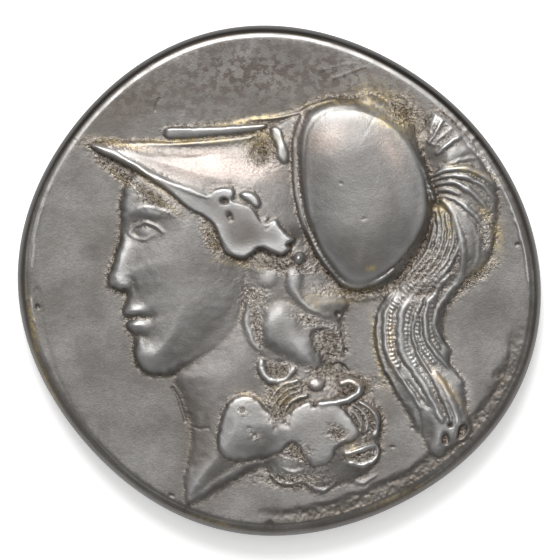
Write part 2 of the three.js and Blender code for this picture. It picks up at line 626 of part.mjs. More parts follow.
// The closed coin: both faces, a cap over the hole each leaves in the middle, and the edge between them
function makeCoin() {
  const position = [];
  const triangles = [];
  const addVertex = (point) => position.push(...point) / 3 - 1;

  const addFace = (face, up) => {
    const vertexOf = new Map();
    const vertex = (n) => {
      if (!vertexOf.has(n)) vertexOf.set(n, addVertex(face.points[n]));
      return vertexOf.get(n);
    };
    for (const [a, b, c] of face.triangles) {
      const corners = [vertex(a), vertex(b), vertex(c)];
      triangles.push(up ? corners : corners.reverse());
    }
    const loop = (from) => [...vertexOf.keys()]
      .filter((n) => n >= from && n < from + face.around)
      .sort((a, b) => a - b)
      .map((n) => ({ turn: n - from, vertex: vertexOf.get(n) }));
    const inner = loop(0);
    const sum = inner.reduce((s, { vertex: v }) => s + position[3 * v + 2], 0);
    const hub = addVertex([SHIFT_X, SHIFT_Y, sum / inner.length]);
    inner.forEach(({ vertex: v }, k) => {
      const next = inner[(k + 1) % inner.length].vertex;
      triangles.push(up ? [hub, v, next] : [hub, next, v]);
    });
    return loop(face.around * CELLS);
  };

  // A rim is a ring of corners, each with its turn round the coin. A band joins two of them: it walks
  // round both and always steps on the one that is behind.
  const turnOf = (rim, k) => (k < rim.length ? rim[k].turn : 2 * CELLS);
  const addBand = (upper, lower) => {
    let [u, l] = [0, 0];
    while (u < upper.length || l < lower.length) {
      const top = upper[u % upper.length].vertex;
      const bottom = lower[l % lower.length].vertex;
      if (u < upper.length && (l >= lower.length || turnOf(upper, u + 1) <= turnOf(lower, l + 1))) {
        triangles.push([top, bottom, upper[(u + 1) % upper.length].vertex]);
        u += 1;
      } else {
        triangles.push([top, bottom, lower[(l + 1) % lower.length].vertex]);
        l += 1;
      }
    }
  };

  // One ring of the edge, at an inset from the rim and a share of the fall from the face to the side
  const addRing = (face, inset, sideLevel, fall) => Array.from({ length: (2 * CELLS) / RIM_STEP }, (_, k) => {
    const turn = k * RIM_STEP;
    const angle = (Math.PI * turn) / CELLS;
    const faceLevel = face.points[face.around * CELLS + turn][2];
    const [x, y] = planPoint(angle, shareAt(angle, inset));
    return { turn, vertex: addVertex([x, y, faceLevel + (sideLevel - faceLevel) * fall]) };
  });

  const reverse = splitFace(reverseAt, () => 1, REVERSE_SHOULDER_WIDTH, REVERSE_TRIANGLES);
  const edgeTriangles = (SHOULDER_STEPS + REVERSE_SHOULDER_STEPS + 2) * ((4 * CELLS) / RIM_STEP);
  const left = TRIANGLES - reverse.triangles.length - edgeTriangles;
  const obverse = splitFace(obverseAt, careAt, SHOULDER_WIDTH, left);
  const rings = [addFace(obverse, true)];
  for (let n = 1; n <= SHOULDER_STEPS; n += 1) {
    const out = n / SHOULDER_STEPS;
    const inset = SHOULDER_WIDTH * (1 - out);
    rings.push(addRing(obverse, inset, FIELD_LEVEL - SHOULDER_DROP, out ** SHOULDER_CURVE));
  }
  for (let n = REVERSE_SHOULDER_STEPS; n >= 1; n -= 1) {
    const quarter = (Math.PI / 2) * (n / REVERSE_SHOULDER_STEPS);
    const inset = REVERSE_SHOULDER_WIDTH * (1 - Math.sin(quarter));
    rings.push(addRing(reverse, inset, REVERSE_DEPTH + REVERSE_SHOULDER_DROP, 1 - Math.cos(quarter)));
  }
  rings.push(addFace(reverse, false));
  for (let n = 1; n < rings.length; n += 1) addBand(rings[n - 1], rings[n]);

  const geometry = new THREE.BufferGeometry();
  geometry.setAttribute('position', new THREE.Float32BufferAttribute(position, 3));
  geometry.setIndex(triangles.flat());
  geometry.computeVertexNormals();
  return geometry;
}

const silver = new THREE.MeshStandardMaterial({ color: 0x8f8b85, roughness: 0.42, metalness: 0.9 });
const coin = new THREE.Mesh(makeCoin(), silver);
coin.name = 'coin';

const group = new THREE.Group();
group.name = 'didrachm';
group.add(coin);
export default group;
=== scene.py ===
import math

import bpy
import numpy as np
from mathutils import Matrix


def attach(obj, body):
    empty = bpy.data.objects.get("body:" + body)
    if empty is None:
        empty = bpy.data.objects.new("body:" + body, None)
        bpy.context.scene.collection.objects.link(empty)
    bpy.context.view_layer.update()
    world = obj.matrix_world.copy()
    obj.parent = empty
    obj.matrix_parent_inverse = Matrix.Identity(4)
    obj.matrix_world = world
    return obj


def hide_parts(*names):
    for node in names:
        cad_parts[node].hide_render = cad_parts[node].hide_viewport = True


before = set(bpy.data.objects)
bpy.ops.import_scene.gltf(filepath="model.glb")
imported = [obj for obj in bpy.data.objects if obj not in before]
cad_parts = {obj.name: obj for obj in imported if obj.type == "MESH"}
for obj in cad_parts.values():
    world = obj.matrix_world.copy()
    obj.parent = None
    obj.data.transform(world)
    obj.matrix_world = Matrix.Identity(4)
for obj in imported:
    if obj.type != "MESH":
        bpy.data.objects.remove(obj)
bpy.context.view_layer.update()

# A struck silver didrachm lying on its reverse. Heights and plan are in millimetres until the mesh is
# made, the picture is drawn on a square sheet of 560 units, x to the right and y down.
MM = 0.001
SMALL = 1e-6
TINY = 1e-9

# The flan
COIN_WIDTH = 22.5
COIN_HEIGHT = 21.95
FIELD_LEVEL = 2.15
SHOULDER_WIDTH = 0.52
SHOULDER_DROP = 0.75
SHOULDER_BEVEL = 0.21
SHOULDER_CURVE = 6
DENT_DEPTH = 0.02
REVERSE_SHOULDER_WIDTH = 0.6
REVERSE_SHOULDER_DROP = 0.4
# Waves of the hammered outline: order, share of the radius, phase in degrees
OUTLINE_WAVES = ((1, 0.0099, 130), (2, 0.0172, 55), (3, 0.0082, 33), (4, 0.0084, 14), (5, 0.0047, 168))

# The ledge where the flan spread past the die, lower right: degrees, then millimetres
LEDGE_MIDDLE = -52
LEDGE_SPREAD = 46
LEDGE_FADE = 18
LEDGE_WIDTH = 0.86
LEDGE_DEPTH = 0.08

SHEET_SIZE = 24.08
SHEET_UNITS = 560
UNIT = SHEET_SIZE / SHEET_UNITS
SHEET_MIDDLE = SHEET_UNITS / 2
PICTURE_FADE = 0.3

# Heights over the field and depths under the surface, and shares of such heights
HELMET_RIDGE = 0.68
HELMET_TOP_EDGE = 0.08
HELMET_LOWER_EDGE = 0.61
HELMET_TIP_SHARE = 0.4
BORDER_HEIGHT = 0.5
BOWL_TOP = 0.92
RECESS_DEPTH = 0.16
SEAM_HEIGHT = 0.1
BAR_LOWER_EDGE = 0.1
BAR_TOP_EDGE = 0.04
BAR_HEIGHT = 0.17
SHARE_UNDER_BAR = 0.9
SCROLL_LEVEL = 0.57
SCROLL_START = 0.5 * SCROLL_LEVEL
SCROLL_HEIGHT = 0.085
FULL_SKIN = 0.2
NOSTRIL_DEPTH = 0.08
NECK_END_HEIGHT = 0.055
SKIN_UNDER_HELMET = 0.48
NOTCH_DEPTH = 0.035
HOLLOW_DEPTH = 0.1
KNOT_HEIGHT = 0.17

# Swelling forms: step at the outline, width of the step, rise further in, how far in it is reached
FAN_SWELL = (0.09, 9, 0.2625, 40)
TAIL_SWELL = (0.07, 7, 0.195, 26)
HEAD_SWELL = (0.16, 8, 0.4, 70)
NECK_SWELL = (0.034, 8, 0.34, 55)
HAIR_SWELL = (0.034, 8, 0.34, 40)
CURLS_SWELL = (0.13, 4.5, 0.05, 22)

# Widths of bevels in sheet units
HELMET_BEVEL = 2.6
BORDER_BEVEL = 12
BOWL_BEVEL = 2.5
SEAM_BEVEL = 3
BAR_BEVEL = 1.5
SCROLL_BEVEL = 4
SCROLL_LIP = 2.5
NECK_END_BEVEL = 8
NOTCH_BEVEL = 5
HOLLOW_BEVEL = 6

# How flat the backs of strands are, 2 for a round one
LINE_FLATNESS = 3
FAN_FLATNESS = 2.5
BAND_FLATNESS = 4

# Heights over which two forms run into each other
CORNER_BLEND = 0.1
FOOT_BLEND = 0.15
EAR_BLEND = 0.04
CREST_BLEND = 0.08
NECK_BLEND = 0.22
HAIR_BLEND = 0.2
CURL_BLEND = 0.02
EDGE_BLEND = 0.05

# The head: brow point on the sheet, one third of the face in sheet units, lean of the face in degrees
BROW_X = 121
BROW_Y = 212
FACE_THIRD = 81
FACE_LEAN = 6

# The reverse: a rosette in a ring of lozenges, as shares of the way from the middle to the rim
REVERSE_DEPTH = 0.3
RING_LOZENGES = 16
RING_REACH = math.exp(-math.pi / 8)
PETALS = 8
PETAL_REACH = math.exp(-3 * math.pi / 8)
HUB_REACH = 0.2
BEVEL_SHARE = 0.25

# The mesh: rings from the middle to the rim, rings down the edge, triangles kept, cells of the noise
OBVERSE_RINGS = 240
REVERSE_RINGS = OBVERSE_RINGS // 2
SHOULDER_RINGS = 12
REVERSE_SHOULDER_RINGS = 7
SIDE_RINGS = 5
KEPT_TRIANGLES = 190000
NOISE_CELLS = 97

# Wear of the picture: smoothing passes, and lumps that make its lines uneven, less so on the helmet
WEAR_PASSES = 3
EDGE_WOBBLE = 0.9
WOBBLE_SIZE = 5
HELMET_WOBBLE = 0.3
LEDGE_RAGGED = 0.16
LEDGE_LUMPS = 11
LEDGE_SLOPE = 0.42

# Granular corrosion in the recesses, and much lower on the field and on the ledge
GRAIN_HEIGHT = 0.036
FINE_GRAIN = 2.3
COARSE_GRAIN = 4.7
COARSE_SHARE = 0.8
FIELD_GRAIN = 0.05
LEDGE_GRAIN = 0.4
FIELD_WAVE = 24
FIELD_WAVE_SHARE = 0.3

# Passes for the mean of the surroundings, and heights over or under it at which a mask is full
NEAR_PASSES = 24
WIDE_PASSES = 160
FULL_RECESS = 0.08
FULL_WEAR = 0.08
FULL_SHADE = 0.14
FULL_RIDGE = 0.07
# Corrosion that wear takes away, and that a recess brings
WEAR_CLEARS = 0.8
RECESS_BRINGS = 0.9

# Dents of the shoulder: radius of the circle they are read off in the noise, and size of its lumps
DENT_CIRCLE = 7
DENT_SIZE = 0.55

# The painted highlight along the shoulder, on the side toward the light: where it ends, how softly, the
# side it lies on, how uneven it is
BRIGHT_LINE_END = 0.36
BRIGHT_LINE_SPREAD = 0.12
BRIGHT_LINE_TURN = 0.2
BRIGHT_LINE_EXTRA = 0.05
BRIGHT_LINE_MEAN = 0.75
BRIGHT_LINE_SWING = 0.35
BRIGHT_LINE_MIDDLE = 300
BRIGHT_LINE_CIRCLE = 280
BRIGHT_LINE_LUMPS = 9

# Black of the rim, partly toning and partly painted shade, darkest at the top where the steep edge
# reflects the dark: where it starts on the shoulder, how softly, its mean, and more at the top
BLACK_START = 0.28
BLACK_SPREAD = 0.1
BLACK_MEAN = 0.62
BLACK_SWING = 0.38
SIDE_TONING = 0.25


# Lines and forms on the sheet

def smooth_line(points, closed=False, steps=7):
    """A smooth line through the points."""
    p = np.asarray(points, float)
    if closed:
        q = np.vstack([p[-1:], p, p[:2]])
    else:
        q = np.vstack([p[:1], p, p[-1:]])
    t = np.linspace(0, 1, steps, endpoint=False)[:, None]
    spans = []
    for a, b, c, d in zip(q[:-3], q[1:-2], q[2:-1], q[3:]):
        square = (2 * a - 5 * b + 4 * c - d) * t**2
        cube = (3 * b - a - 3 * c + d) * t**3
        spans.append(0.5 * (2 * b + (c - a) * t + square + cube))
    line = np.vstack(spans)
    return np.vstack([line, line[:1] if closed else p[-1:]])


def nearest(line, x, y):
    """Distance to a line, the share of its length at the nearest point, and the side a point lies on."""
    best = np.full(x.shape, np.inf)
    place = np.zeros(x.shape)
    side = np.ones(x.shape)
    length = 0.0
    for (ax, ay), (dx, dy) in zip(line[:-1], np.diff(line, axis=0)):
        span = math.hypot(dx, dy) or TINY
        t = np.clip(((x - ax) * dx + (y - ay) * dy) / (span * span), 0, 1)
        ex = x - ax - t * dx
        ey = y - ay - t * dy
        away = ex * ex + ey * ey
        closer = away < best
        best[closer] = away[closer]
        place[closer] = length + t[closer] * span
        side[closer] = (dx * ey - dy * ex)[closer]
        length += span
    return np.sqrt(best), place / length, side


def is_inside(line, x, y):
    """Which points lie inside a closed line."""
    inside = np.zeros(x.shape, bool)
    for (ax, ay), (bx, by) in zip(line[:-1], line[1:]):
        if ay != by:
            inside ^= ((ay > y) != (by > y)) & (x < (bx - ax) * (y - ay) / (by - ay) + ax)
    return inside


def soft_rise(t):
    return 1 - (1 - np.clip(t, 0, 1)) ** 2


def smooth_step(t):
    t = np.clip(t, 0, 1)
    return t * t * (3 - 2 * t)


def blend_max(a, b, blend):
    """The larger of two heights, with the corner between them rounded off."""
    most = np.maximum(a, b)
    soft = np.maximum(np.minimum(blend, most), TINY)
    near = np.clip(1 - np.abs(a - b) / soft, 0, 1)
    return most + near * near * soft / 4


class Sheet:
    """Points on the sheet. Each form gives its height at every point."""

    def __init__(self, x, y):
        self.x = x
        self.y = y
        self.none = np.zeros(x.shape)

    def boxed(self, line, pad, height_at):
        """Heights worked out only near a line."""
        low, high = line.min(0) - pad, line.max(0) + pad
        near = (self.x > low[0]) & (self.x < high[0]) & (self.y > low[1]) & (self.y < high[1])
        heights = self.none.copy()
        heights[near] = height_at(self.x[near], self.y[near])
        return heights

    def inside(self, outline):
        line = smooth_line(outline, True)
        return self.boxed(line, 1, lambda x, y: is_inside(line, x, y)) > 0

    def mound(self, outline, step, step_width, body=0.0, reach=1.0):
        """A closed form with a soft step at its outline and a body that swells further in."""
        line = smooth_line(outline, True)

        def height_at(x, y):
            distance = nearest(line, x, y)[0]
            height = step * soft_rise(distance / step_width) + body * soft_rise(distance / reach)
            return np.where(is_inside(line, x, y), height, 0)

        return self.boxed(line, 1, height_at)

    def plateau(self, outline, bevel):
        """1 inside an outline and 0 outside it, with a bevel between."""
        return smooth_step(self.mound(outline, 1, bevel))

    def cushion(self, outline, step, bevel, body, reach):
        """A closed form with a rounded bevel at its outline and a body that swells further in."""
        return self.plateau(outline, bevel) * step + self.mound(outline, 0, 1, body, reach)

    def roof(self, outline, spine, under, over, top, step_width, sharp, tip=1.0):
        """A closed form that climbs from its outline to a spine, as a sharp ridge or a round back.
        It is as low as tip says where the spine starts."""
        line = smooth_line(outline, True)
        spine_line = smooth_line(spine)

        def height_at(x, y):
            distance = nearest(line, x, y)[0]
            away, share, side = nearest(spine_line, x, y)
            t = away / (away + distance + SMALL)
            edge = np.where(side > 0, under, over)
            lift = 1 - t if sharp else 1 - t * t
            height = (edge + (top - edge) * lift) * soft_rise(distance / step_width)
            height *= tip + (1 - tip) * soft_rise(2 * share)
            return np.where(is_inside(line, x, y), height, 0)

        return self.boxed(line, 1, height_at)

    def strand(self, path, width, height, closed=False, flat=2):
        """A strand along a path, with its width and height at the start, the middle and the end.
        The higher flat is, the flatter its back."""
        line = smooth_line(path, closed)
        widths = np.broadcast_to(np.asarray(width, float), 3)
        heights = np.broadcast_to(np.asarray(height, float), 3)
        thirds = (0, 0.5, 1)

        def height_at(x, y):
            distance, share, _ = nearest(line, x, y)
            t = np.clip(2 * distance / np.interp(share, thirds, widths), 0, 1)
            return np.interp(share, thirds, heights) * (1 - t**flat)

        return self.boxed(line, widths.max(), height_at)

    def oval_share(self, oval):
        """Square of a point's distance from an oval's middle, 1 on its outline."""
        cx, cy, rx, ry, lean = oval
        a = math.radians(lean)
        u = (self.x - cx) * math.cos(a) + (self.y - cy) * math.sin(a)
        v = (self.y - cy) * math.cos(a) - (self.x - cx) * math.sin(a)
        return (u / rx) ** 2 + (v / ry) ** 2

    def dimple(self, oval, height):
        return height * np.maximum(0, 1 - self.oval_share(oval))

    def dimples(self, ovals):
        """Round dimples added up, each given as an oval with its height."""
        return sum(self.dimple(oval, height) for *oval, height in ovals)

    def swell(self, oval, height):
        return height * np.exp(-self.oval_share(oval))

    def highest(self, strands, flat=2):
        """The highest of several strands, each given as path, width, height."""
        top = self.none.copy()
        for path, width, height in strands:
            top = np.maximum(top, self.strand(path, width, height, flat=flat))
        return top


def tapered(strands, widths, heights):
    """Strands with their width and height multiplied at the start, the middle and the end."""
    return [
        (path, np.multiply(widths, width), np.multiply(heights, height))
        for path, width, height in strands
    ]


# The helmet

HELMET_OUTLINE = (
    (94, 143), (130, 139.5), (169, 141), (196, 139.5), (220, 136.5), (246, 134), (268, 127), (286, 119),
    (303, 113), (311, 128), (306, 160), (306, 195), (313, 224), (303, 246), (291, 250), (283, 255),
    (272, 253), (261, 248), (256, 251), (246, 258), (234, 257), (223, 250), (214, 226), (205, 217),
    (187, 207), (169, 191), (151, 179), (125, 164), (98, 151),
)
HELMET_SPINE = (
    (96, 145), (116, 152.5), (142.5, 167), (169, 181), (192, 189.5), (206, 196), (220, 202), (238, 210),
    (258, 222), (276, 236),
)
SCROLL_OUTLINE = (
    (139, 167), (160, 177.5), (180, 186.5), (196, 192.5), (208, 195.5), (212, 190.5), (218, 187.5),
    (226, 186.5), (233, 187.5), (236, 193), (233, 199.5), (240, 201.5), (250, 205), (256, 211),
    (261, 220), (266.5, 224), (271, 220), (277, 219), (282, 226), (287, 232), (297, 241), (291, 250),
    (283, 256), (272, 250), (261, 249), (256, 253), (250, 257.5), (240, 258), (230, 251), (222, 240),
    (214, 227.5), (205, 218.5), (187, 208), (169, 192.5), (151, 180),
)
LEAF_OUTLINE = (
    (240, 193), (246, 190.5), (254, 192), (260, 198), (261, 206), (255, 207), (249, 202), (243, 198),
)
BOWL_OUTLINE = (
    (304, 172), (304.5, 150), (308, 130), (317, 117), (330, 109.5), (345, 107), (361, 108), (376, 113),
    (391, 121), (403, 132), (413, 146), (421, 163), (427, 181), (428.5, 199), (427, 217), (421, 233),
    (412, 247), (402, 259), (391, 269), (378, 277.5), (366, 282.5), (355, 283), (344, 277), (332, 263.5),
    (321, 247), (313, 229), (307, 206),
)
BORDER_OUTLINE = (
    (294, 165), (294, 142), (297, 127), (304, 113), (315, 105), (330, 99), (347, 97.5), (363, 100),
    (379, 105.5), (393, 113.5), (405, 124), (415.5, 139), (423.5, 158), (429.5, 180), (431.5, 200),
    (430, 219), (424, 236), (415, 251), (405, 263), (394, 273.5), (381, 283.5), (367, 290), (353, 291),
    (339, 284), (326, 269.5), (314, 253), (305, 232), (298, 208),
)
BOWL_SPINE = ((350, 158), (360, 193), (364, 220))
BOWL_FOOT = (
    (
        (368, 108), (385, 118), (400, 133), (411, 153), (419, 180), (420, 203), (415, 226), (404, 247),
        (390, 263), (375, 276),
    ),
    32, (0.3, 0.5, 0.36),
)
RIM_LINE = (
    (
        (303, 114), (298, 128), (295, 142), (295, 165), (296.5, 187), (300, 208), (306.5, 229),
        (316, 249), (327, 266), (338, 279), (352, 287), (367, 286), (382, 279), (395, 269),
    ),
    (5, 6, 4), (0.1, 0.14, 0.09),
)
CAP_RECESS = (262, 148, 12, 18, 0)
# Pits of the scroll plate, and one small knob: x, y, half length, half width, lean, depth
SCROLL_PITS = (
    (225, 200.5, 4.5, 4.2, 0, 0.16), (230.5, 216, 3, 6.5, -20, 0.09), (266.5, 219, 3, 3, 0, -0.06),
)
SCROLL_CREASE = (((258, 212), (262, 222), (267, 228), (273, 222)), 3, 0.03)
BEAD_GROOVE = (4.5, (0.06, 0.09, 0.06))
RIM_BEAD = (4, 0.06)
RIM_BEADS = (
    (308, 118), (302.5, 131), (300.5, 148), (300.5, 170), (302.5, 192), (306.5, 213), (313, 233),
    (322, 251), (333, 267), (345, 281),
)
BAR_OUTLINE = (
    (165, 131.5), (167.5, 127), (180, 126.4), (200, 126), (231, 124.8), (256, 123), (266, 122.8),
    (267.5, 127), (256, 131), (231, 135), (200, 137.5), (180, 139), (167.5, 137.5),
)
BAR_SPINE = ((167.5, 128.4), (200, 127.6), (231, 126.4), (267, 124.4))
CAP_TOP_LINE = (
    ((228, 124.5), (256, 119), (275, 117.5), (300, 112), (312, 105.5), (325, 101), (336, 99)),
    (3, 4, 5), (0.03, 0.1, 0.2),
)
SEAM_OUTLINE = (
    (271, 127), (277, 125.5), (282.5, 130), (286, 142), (290, 152), (289.5, 160), (284, 163), (278, 157),
    (276, 146), (271.5, 136),
)
CAP_TOP_ROLL = (
    ((112, 143.5), (150, 143), (200, 141.5), (240, 138), (262, 134)), (6, 7, 6), (0.03, 0.06, 0.05),
)
CAP_SHELF = (((140, 151), (180, 151), (215, 149), (245, 146)), (8, 13, 8), (0.01, 0.06, 0.02))
EAR_DROP = ((299, 258, 8, 10, 20), 0.62)


def cap_and_bowl(sheet):
    """The pointed cap, the border and the domed bowl."""
    cap = sheet.roof(
        HELMET_OUTLINE, HELMET_SPINE, HELMET_LOWER_EDGE, HELMET_TOP_EDGE, HELMET_RIDGE, HELMET_BEVEL,
        sharp=True, tip=HELMET_TIP_SHARE,
    )
    cap += sheet.strand(*CAP_TOP_ROLL)
    cap -= sheet.strand(*CAP_SHELF) * (cap > 0)
    border = sheet.mound(BORDER_OUTLINE, BORDER_HEIGHT, BORDER_BEVEL)
    bowl = sheet.roof(
        BOWL_OUTLINE, BOWL_SPINE, BORDER_HEIGHT, BORDER_HEIGHT, BOWL_TOP, BOWL_BEVEL, sharp=False
    )
    height = blend_max(cap, border, CORNER_BLEND)
    height = blend_max(height, sheet.strand(*BOWL_FOOT), FOOT_BLEND)
    height = blend_max(height, bowl, CORNER_BLEND)
    return height - sheet.swell(CAP_RECESS, RECESS_DEPTH) * (cap > 0) * (bowl <= 0)


def scroll_plate(sheet, height):
    """The flat plate along the visor with its scroll, laid over a height."""
    for outline in (SCROLL_OUTLINE, LEAF_OUTLINE):
        raised = height > SCROLL_START
        height = height + (SCROLL_LEVEL - height) * sheet.plateau(outline, SCROLL_BEVEL) * raised
        height += sheet.mound(outline, SCROLL_HEIGHT, SCROLL_LIP)
    return height - sheet.dimples(SCROLL_PITS) - sheet.strand(*SCROLL_CREASE)


def helmet(sheet):
    height = cap_and_bowl(sheet)
    height += sheet.strand(*RIM_LINE, flat=LINE_FLATNESS)
    height -= sheet.strand(RIM_BEADS, *BEAD_GROOVE)
    height += bead_row(sheet, RIM_BEADS, *RIM_BEAD)
    height += sheet.mound(SEAM_OUTLINE, SEAM_HEIGHT, SEAM_BEVEL)
    bar = sheet.roof(
        BAR_OUTLINE, BAR_SPINE, BAR_LOWER_EDGE, BAR_TOP_EDGE, BAR_HEIGHT, BAR_BEVEL, sharp=True
    )
    height = np.maximum(height, SHARE_UNDER_BAR * height + bar)
    height = np.maximum(height, sheet.strand(*CAP_TOP_LINE))
    return blend_max(scroll_plate(sheet, height), sheet.dimple(*EAR_DROP), EAR_BLEND)


# The crest

CREST_BASE = (
    ((385, 119), (397, 128), (407, 140), (416, 155), (424, 170), (430, 187), (433, 199)),
    9, (0.4, 0.5, 0.4),
)
FAN_OUTLINE = (
    (408, 139), (421, 127), (433, 109), (448, 114), (470, 136), (486, 160), (497, 185), (499, 215),
    (494, 248), (486, 266), (471, 278), (462, 288), (452, 296), (440, 300), (415, 300), (400, 296),
    (398, 285), (410, 262), (425, 240), (432, 220), (434, 200), (425, 172), (412, 147),
)
# Ridges between the smooth sheets of the fan, each with its width and height
FAN_STRANDS = (
    (((429, 134), (433, 124), (436, 114)), 3, 0.06),
    (((430, 142), (437, 130), (445, 118)), 3.4, 0.1),
    (((434, 144), (444, 134), (453, 127)), 3, 0.05),
    (((438, 153), (449, 143), (463, 134)), 4, 0.11),
    (((441, 168), (452, 163), (465, 158.5), (478, 157)), 3.5, 0.06),
    (((430, 176), (440, 172), (452, 168.5), (465, 168.5), (476, 171), (487, 177), (498, 187)), 5, 0.14),
    (((431, 181), (441, 177.5), (452, 175), (464, 175.5), (475, 180), (486, 187), (496, 198)), 4, 0.11),
    (((432, 186), (441, 183.5), (450, 181.5), (460, 184), (470, 190), (480, 199), (490, 211)), 4.5, 0.1),
    (((433, 191), (443, 189.5), (450, 189.5), (460, 194)), 4, 0.09),
    (((436, 197), (446, 196), (456, 199.5), (466, 206), (475, 214), (484, 225), (489, 238)), 4, 0.08),
    (((444, 201), (452, 211), (458, 225), (462, 240), (464, 254), (463, 270), (459, 284)), 7, 0.12),
    (((466, 213), (474, 225), (479, 239), (479, 254), (475, 266)), 4, 0.06),
    (((488, 222), (492, 238), (489, 252)), 4, 0.05),
    (((448, 160), (458, 152), (470, 149)), 9, 0.05),
    (((452, 206), (464, 219), (471, 236), (472, 254)), 10, 0.06),
)
# Tapers: shares of the width, then of the height, at the start, the middle and the end
FAN_TAPER = ((1, 1.6, 1), (0.8, 1, 0.5))
# Strands behind the fan: the first one's path, width and height, and the step from one to the next
BEHIND_WIDTH = 3.4
BEHIND_HEIGHT = 0.11
BEHIND_STEP = (5, 2)
BEHIND_COUNT = 6
BEHIND_PATH = ((431, 207), (434, 228), (428, 250), (415, 268), (403, 281), (392, 292))
TAIL_OUTLINE = (
    (388, 290), (381, 304), (376, 320), (375, 338), (378, 356), (385, 374), (395, 390), (407, 410),
    (418, 432), (430, 452), (440, 458), (452, 448), (468, 440), (474, 425), (468, 410), (467, 398),
    (464, 384), (452, 366), (452, 352), (446, 340), (444, 324), (447, 308), (455, 296), (462, 286),
    (440, 280), (410, 284),
)
# Smooth flat bands of the tail, each with its width and height
TAIL_BANDS = (
    (((392, 294), (381, 307), (377.8, 322), (378, 340), (381, 357), (387.5, 372), (398, 390),
      (405, 403)), 3.5, 0.11),
    (((397, 297), (387.5, 310), (385, 326), (386.3, 345), (391, 360), (402, 377), (413, 393),
      (421, 408)), 4.5, 0.11),
    (((432, 272), (422, 285), (410, 299), (402.5, 313), (401, 335), (404, 354), (413, 369), (424, 384),
      (433, 402), (443, 420)), 8.5, 0.12),
    (((441, 274), (430, 289), (418, 309), (413.5, 331), (417, 349), (427, 366), (438, 386), (446, 403),
      (452, 421)), 4, 0.12),
    (((436, 374), (444, 385), (451, 399), (457, 414), (459, 424)), 8, 0.12),
    (((450, 276), (441, 285), (429.5, 302), (426, 320), (427.5, 337), (437, 353), (450, 366),
      (463, 383)), 6, 0.13),
    (((456, 284), (446, 297), (438, 311), (436, 324), (440, 337), (451, 350)), 4, 0.09),
)
BAND_TAPER = ((0.9, 1.1, 0.7), (0.6, 0.8, 0.6))
GROOVE_TAPER = ((1, 1, 1), (0.5, 1, 0.5))
TAIL_GROOVES = (
    (((397, 351), (402, 361), (411, 372), (419, 384), (427, 396), (436, 411)), 2.4, 0.09),
    (((408, 381), (414, 388), (421, 397), (429, 408)), 4.0, 0.07),
    (((432, 381), (436, 391), (441, 401), (446, 412), (451, 425)), 2.8, 0.1),
    (((418, 408), (421, 420), (422, 436), (428, 450)), 3.5, 0.08),
)
# Rows of small beads between the bands: path, width, height
TAIL_BEADS = (
    (((396, 301), (392, 312), (390.5, 325), (391.5, 342), (394, 356), (399, 366)), 5, 0.13),
    (((417, 298), (410, 311), (407.5, 325), (407, 341), (410, 353), (418, 366)), 4, 0.11),
    (((425, 296), (420, 308), (418.5, 322), (420, 338), (426, 351), (434, 361)), 4.5, 0.12),
    (((438, 291), (433, 305), (431.5, 320), (433, 334), (440, 347)), 5, 0.1),
    (((414, 283), (404, 295), (397, 305)), 5, 0.12),
    (((427, 277), (418, 289), (409, 300)), 4, 0.1),
    (((441, 232), (438, 250), (430, 264), (420, 277)), 4.5, 0.1),
    (((451, 238), (450, 254), (444, 268), (434, 280)), 4.5, 0.09),
)
BEAD_STEP = 4.2
TAIL_PITS = ((446, 438, 3.8, 7, 0, 0.3), (462, 431, 5.2, 10, 25, 0.32), (451, 425.5, 1.6, 2.6, 0, 0.18))
TAIL_HOLLOW = (428, 434, 6, 13, -5)
TAIL_HOLLOW_DEPTH = 0.1


def bead_row(sheet, path, width, height):
    """Small knobs one after another along a path."""
    line = smooth_line(path)
    length = np.hypot(*np.diff(line, axis=0).T).sum()

    def height_at(x, y):
        distance, share, _ = nearest(line, x, y)
        across = np.clip(1 - (2 * distance / width) ** 2, 0, 1)
        along = np.cos(math.pi * share * length / BEAD_STEP + distance * 0.5) ** 2
        return height * across * along

    return sheet.boxed(line, width, height_at)


def crest(sheet):
    fan = sheet.cushion(FAN_OUTLINE, *FAN_SWELL)
    tail = sheet.cushion(TAIL_OUTLINE, *TAIL_SWELL)
    body = blend_max(blend_max(fan, tail, CREST_BLEND), sheet.strand(*CREST_BASE), CREST_BLEND)
    behind = [
        (np.add(BEHIND_PATH, np.multiply(BEHIND_STEP, n)), BEHIND_WIDTH, BEHIND_HEIGHT)
        for n in range(BEHIND_COUNT)
    ]
    relief = sheet.highest(tapered((*FAN_STRANDS, *behind), *FAN_TAPER), flat=FAN_FLATNESS)
    relief = np.maximum(relief, sheet.highest(tapered(TAIL_BANDS, *BAND_TAPER), flat=BAND_FLATNESS))
    for path, width, height in TAIL_BEADS:
        relief = np.maximum(relief, bead_row(sheet, path, width, height))
    grooves = sheet.highest(tapered(TAIL_GROOVES, *GROOVE_TAPER))
    pits = sheet.dimples(TAIL_PITS) + sheet.swell(TAIL_HOLLOW, TAIL_HOLLOW_DEPTH)
    return body + relief - grooves - pits


# The head: a plain ideal profile, in thirds of the face forward and down from the brow

PROFILE = (
    (-0.3, -0.52), (-0.14, -0.4), (-0.05, -0.25), (-0.01, -0.1), (0.005, 0), (0.015, 0.12), (0.055, 0.3),
    (0.15, 0.58), (0.24, 0.8), (0.235, 0.9), (0.13, 0.965), (0.03, 1), (0.05, 1.1), (0.1, 1.21),
    (0.09, 1.275), (0.03, 1.315), (0.075, 1.37), (0.07, 1.44), (0, 1.545), (0.02, 1.66), (0.03, 1.78),
    (-0.02, 1.93), (-0.14, 2.03), (-0.35, 2.07),
)
JAW = (
    (-0.6, 2), (-0.95, 1.85), (-1.25, 1.62), (-1.42, 1.3), (-1.5, 0.9), (-1.55, 0.4), (-1.5, 0),
    (-1.3, -0.35), (-0.7, -0.55),
)
NECK_OUTLINE = (
    (176, 372), (182, 392), (188, 412), (192, 432), (190, 455), (184, 478), (187, 501), (200, 497),
    (225, 484), (262, 463), (300, 430), (310, 380), (300, 300), (250, 290), (200, 330),
)
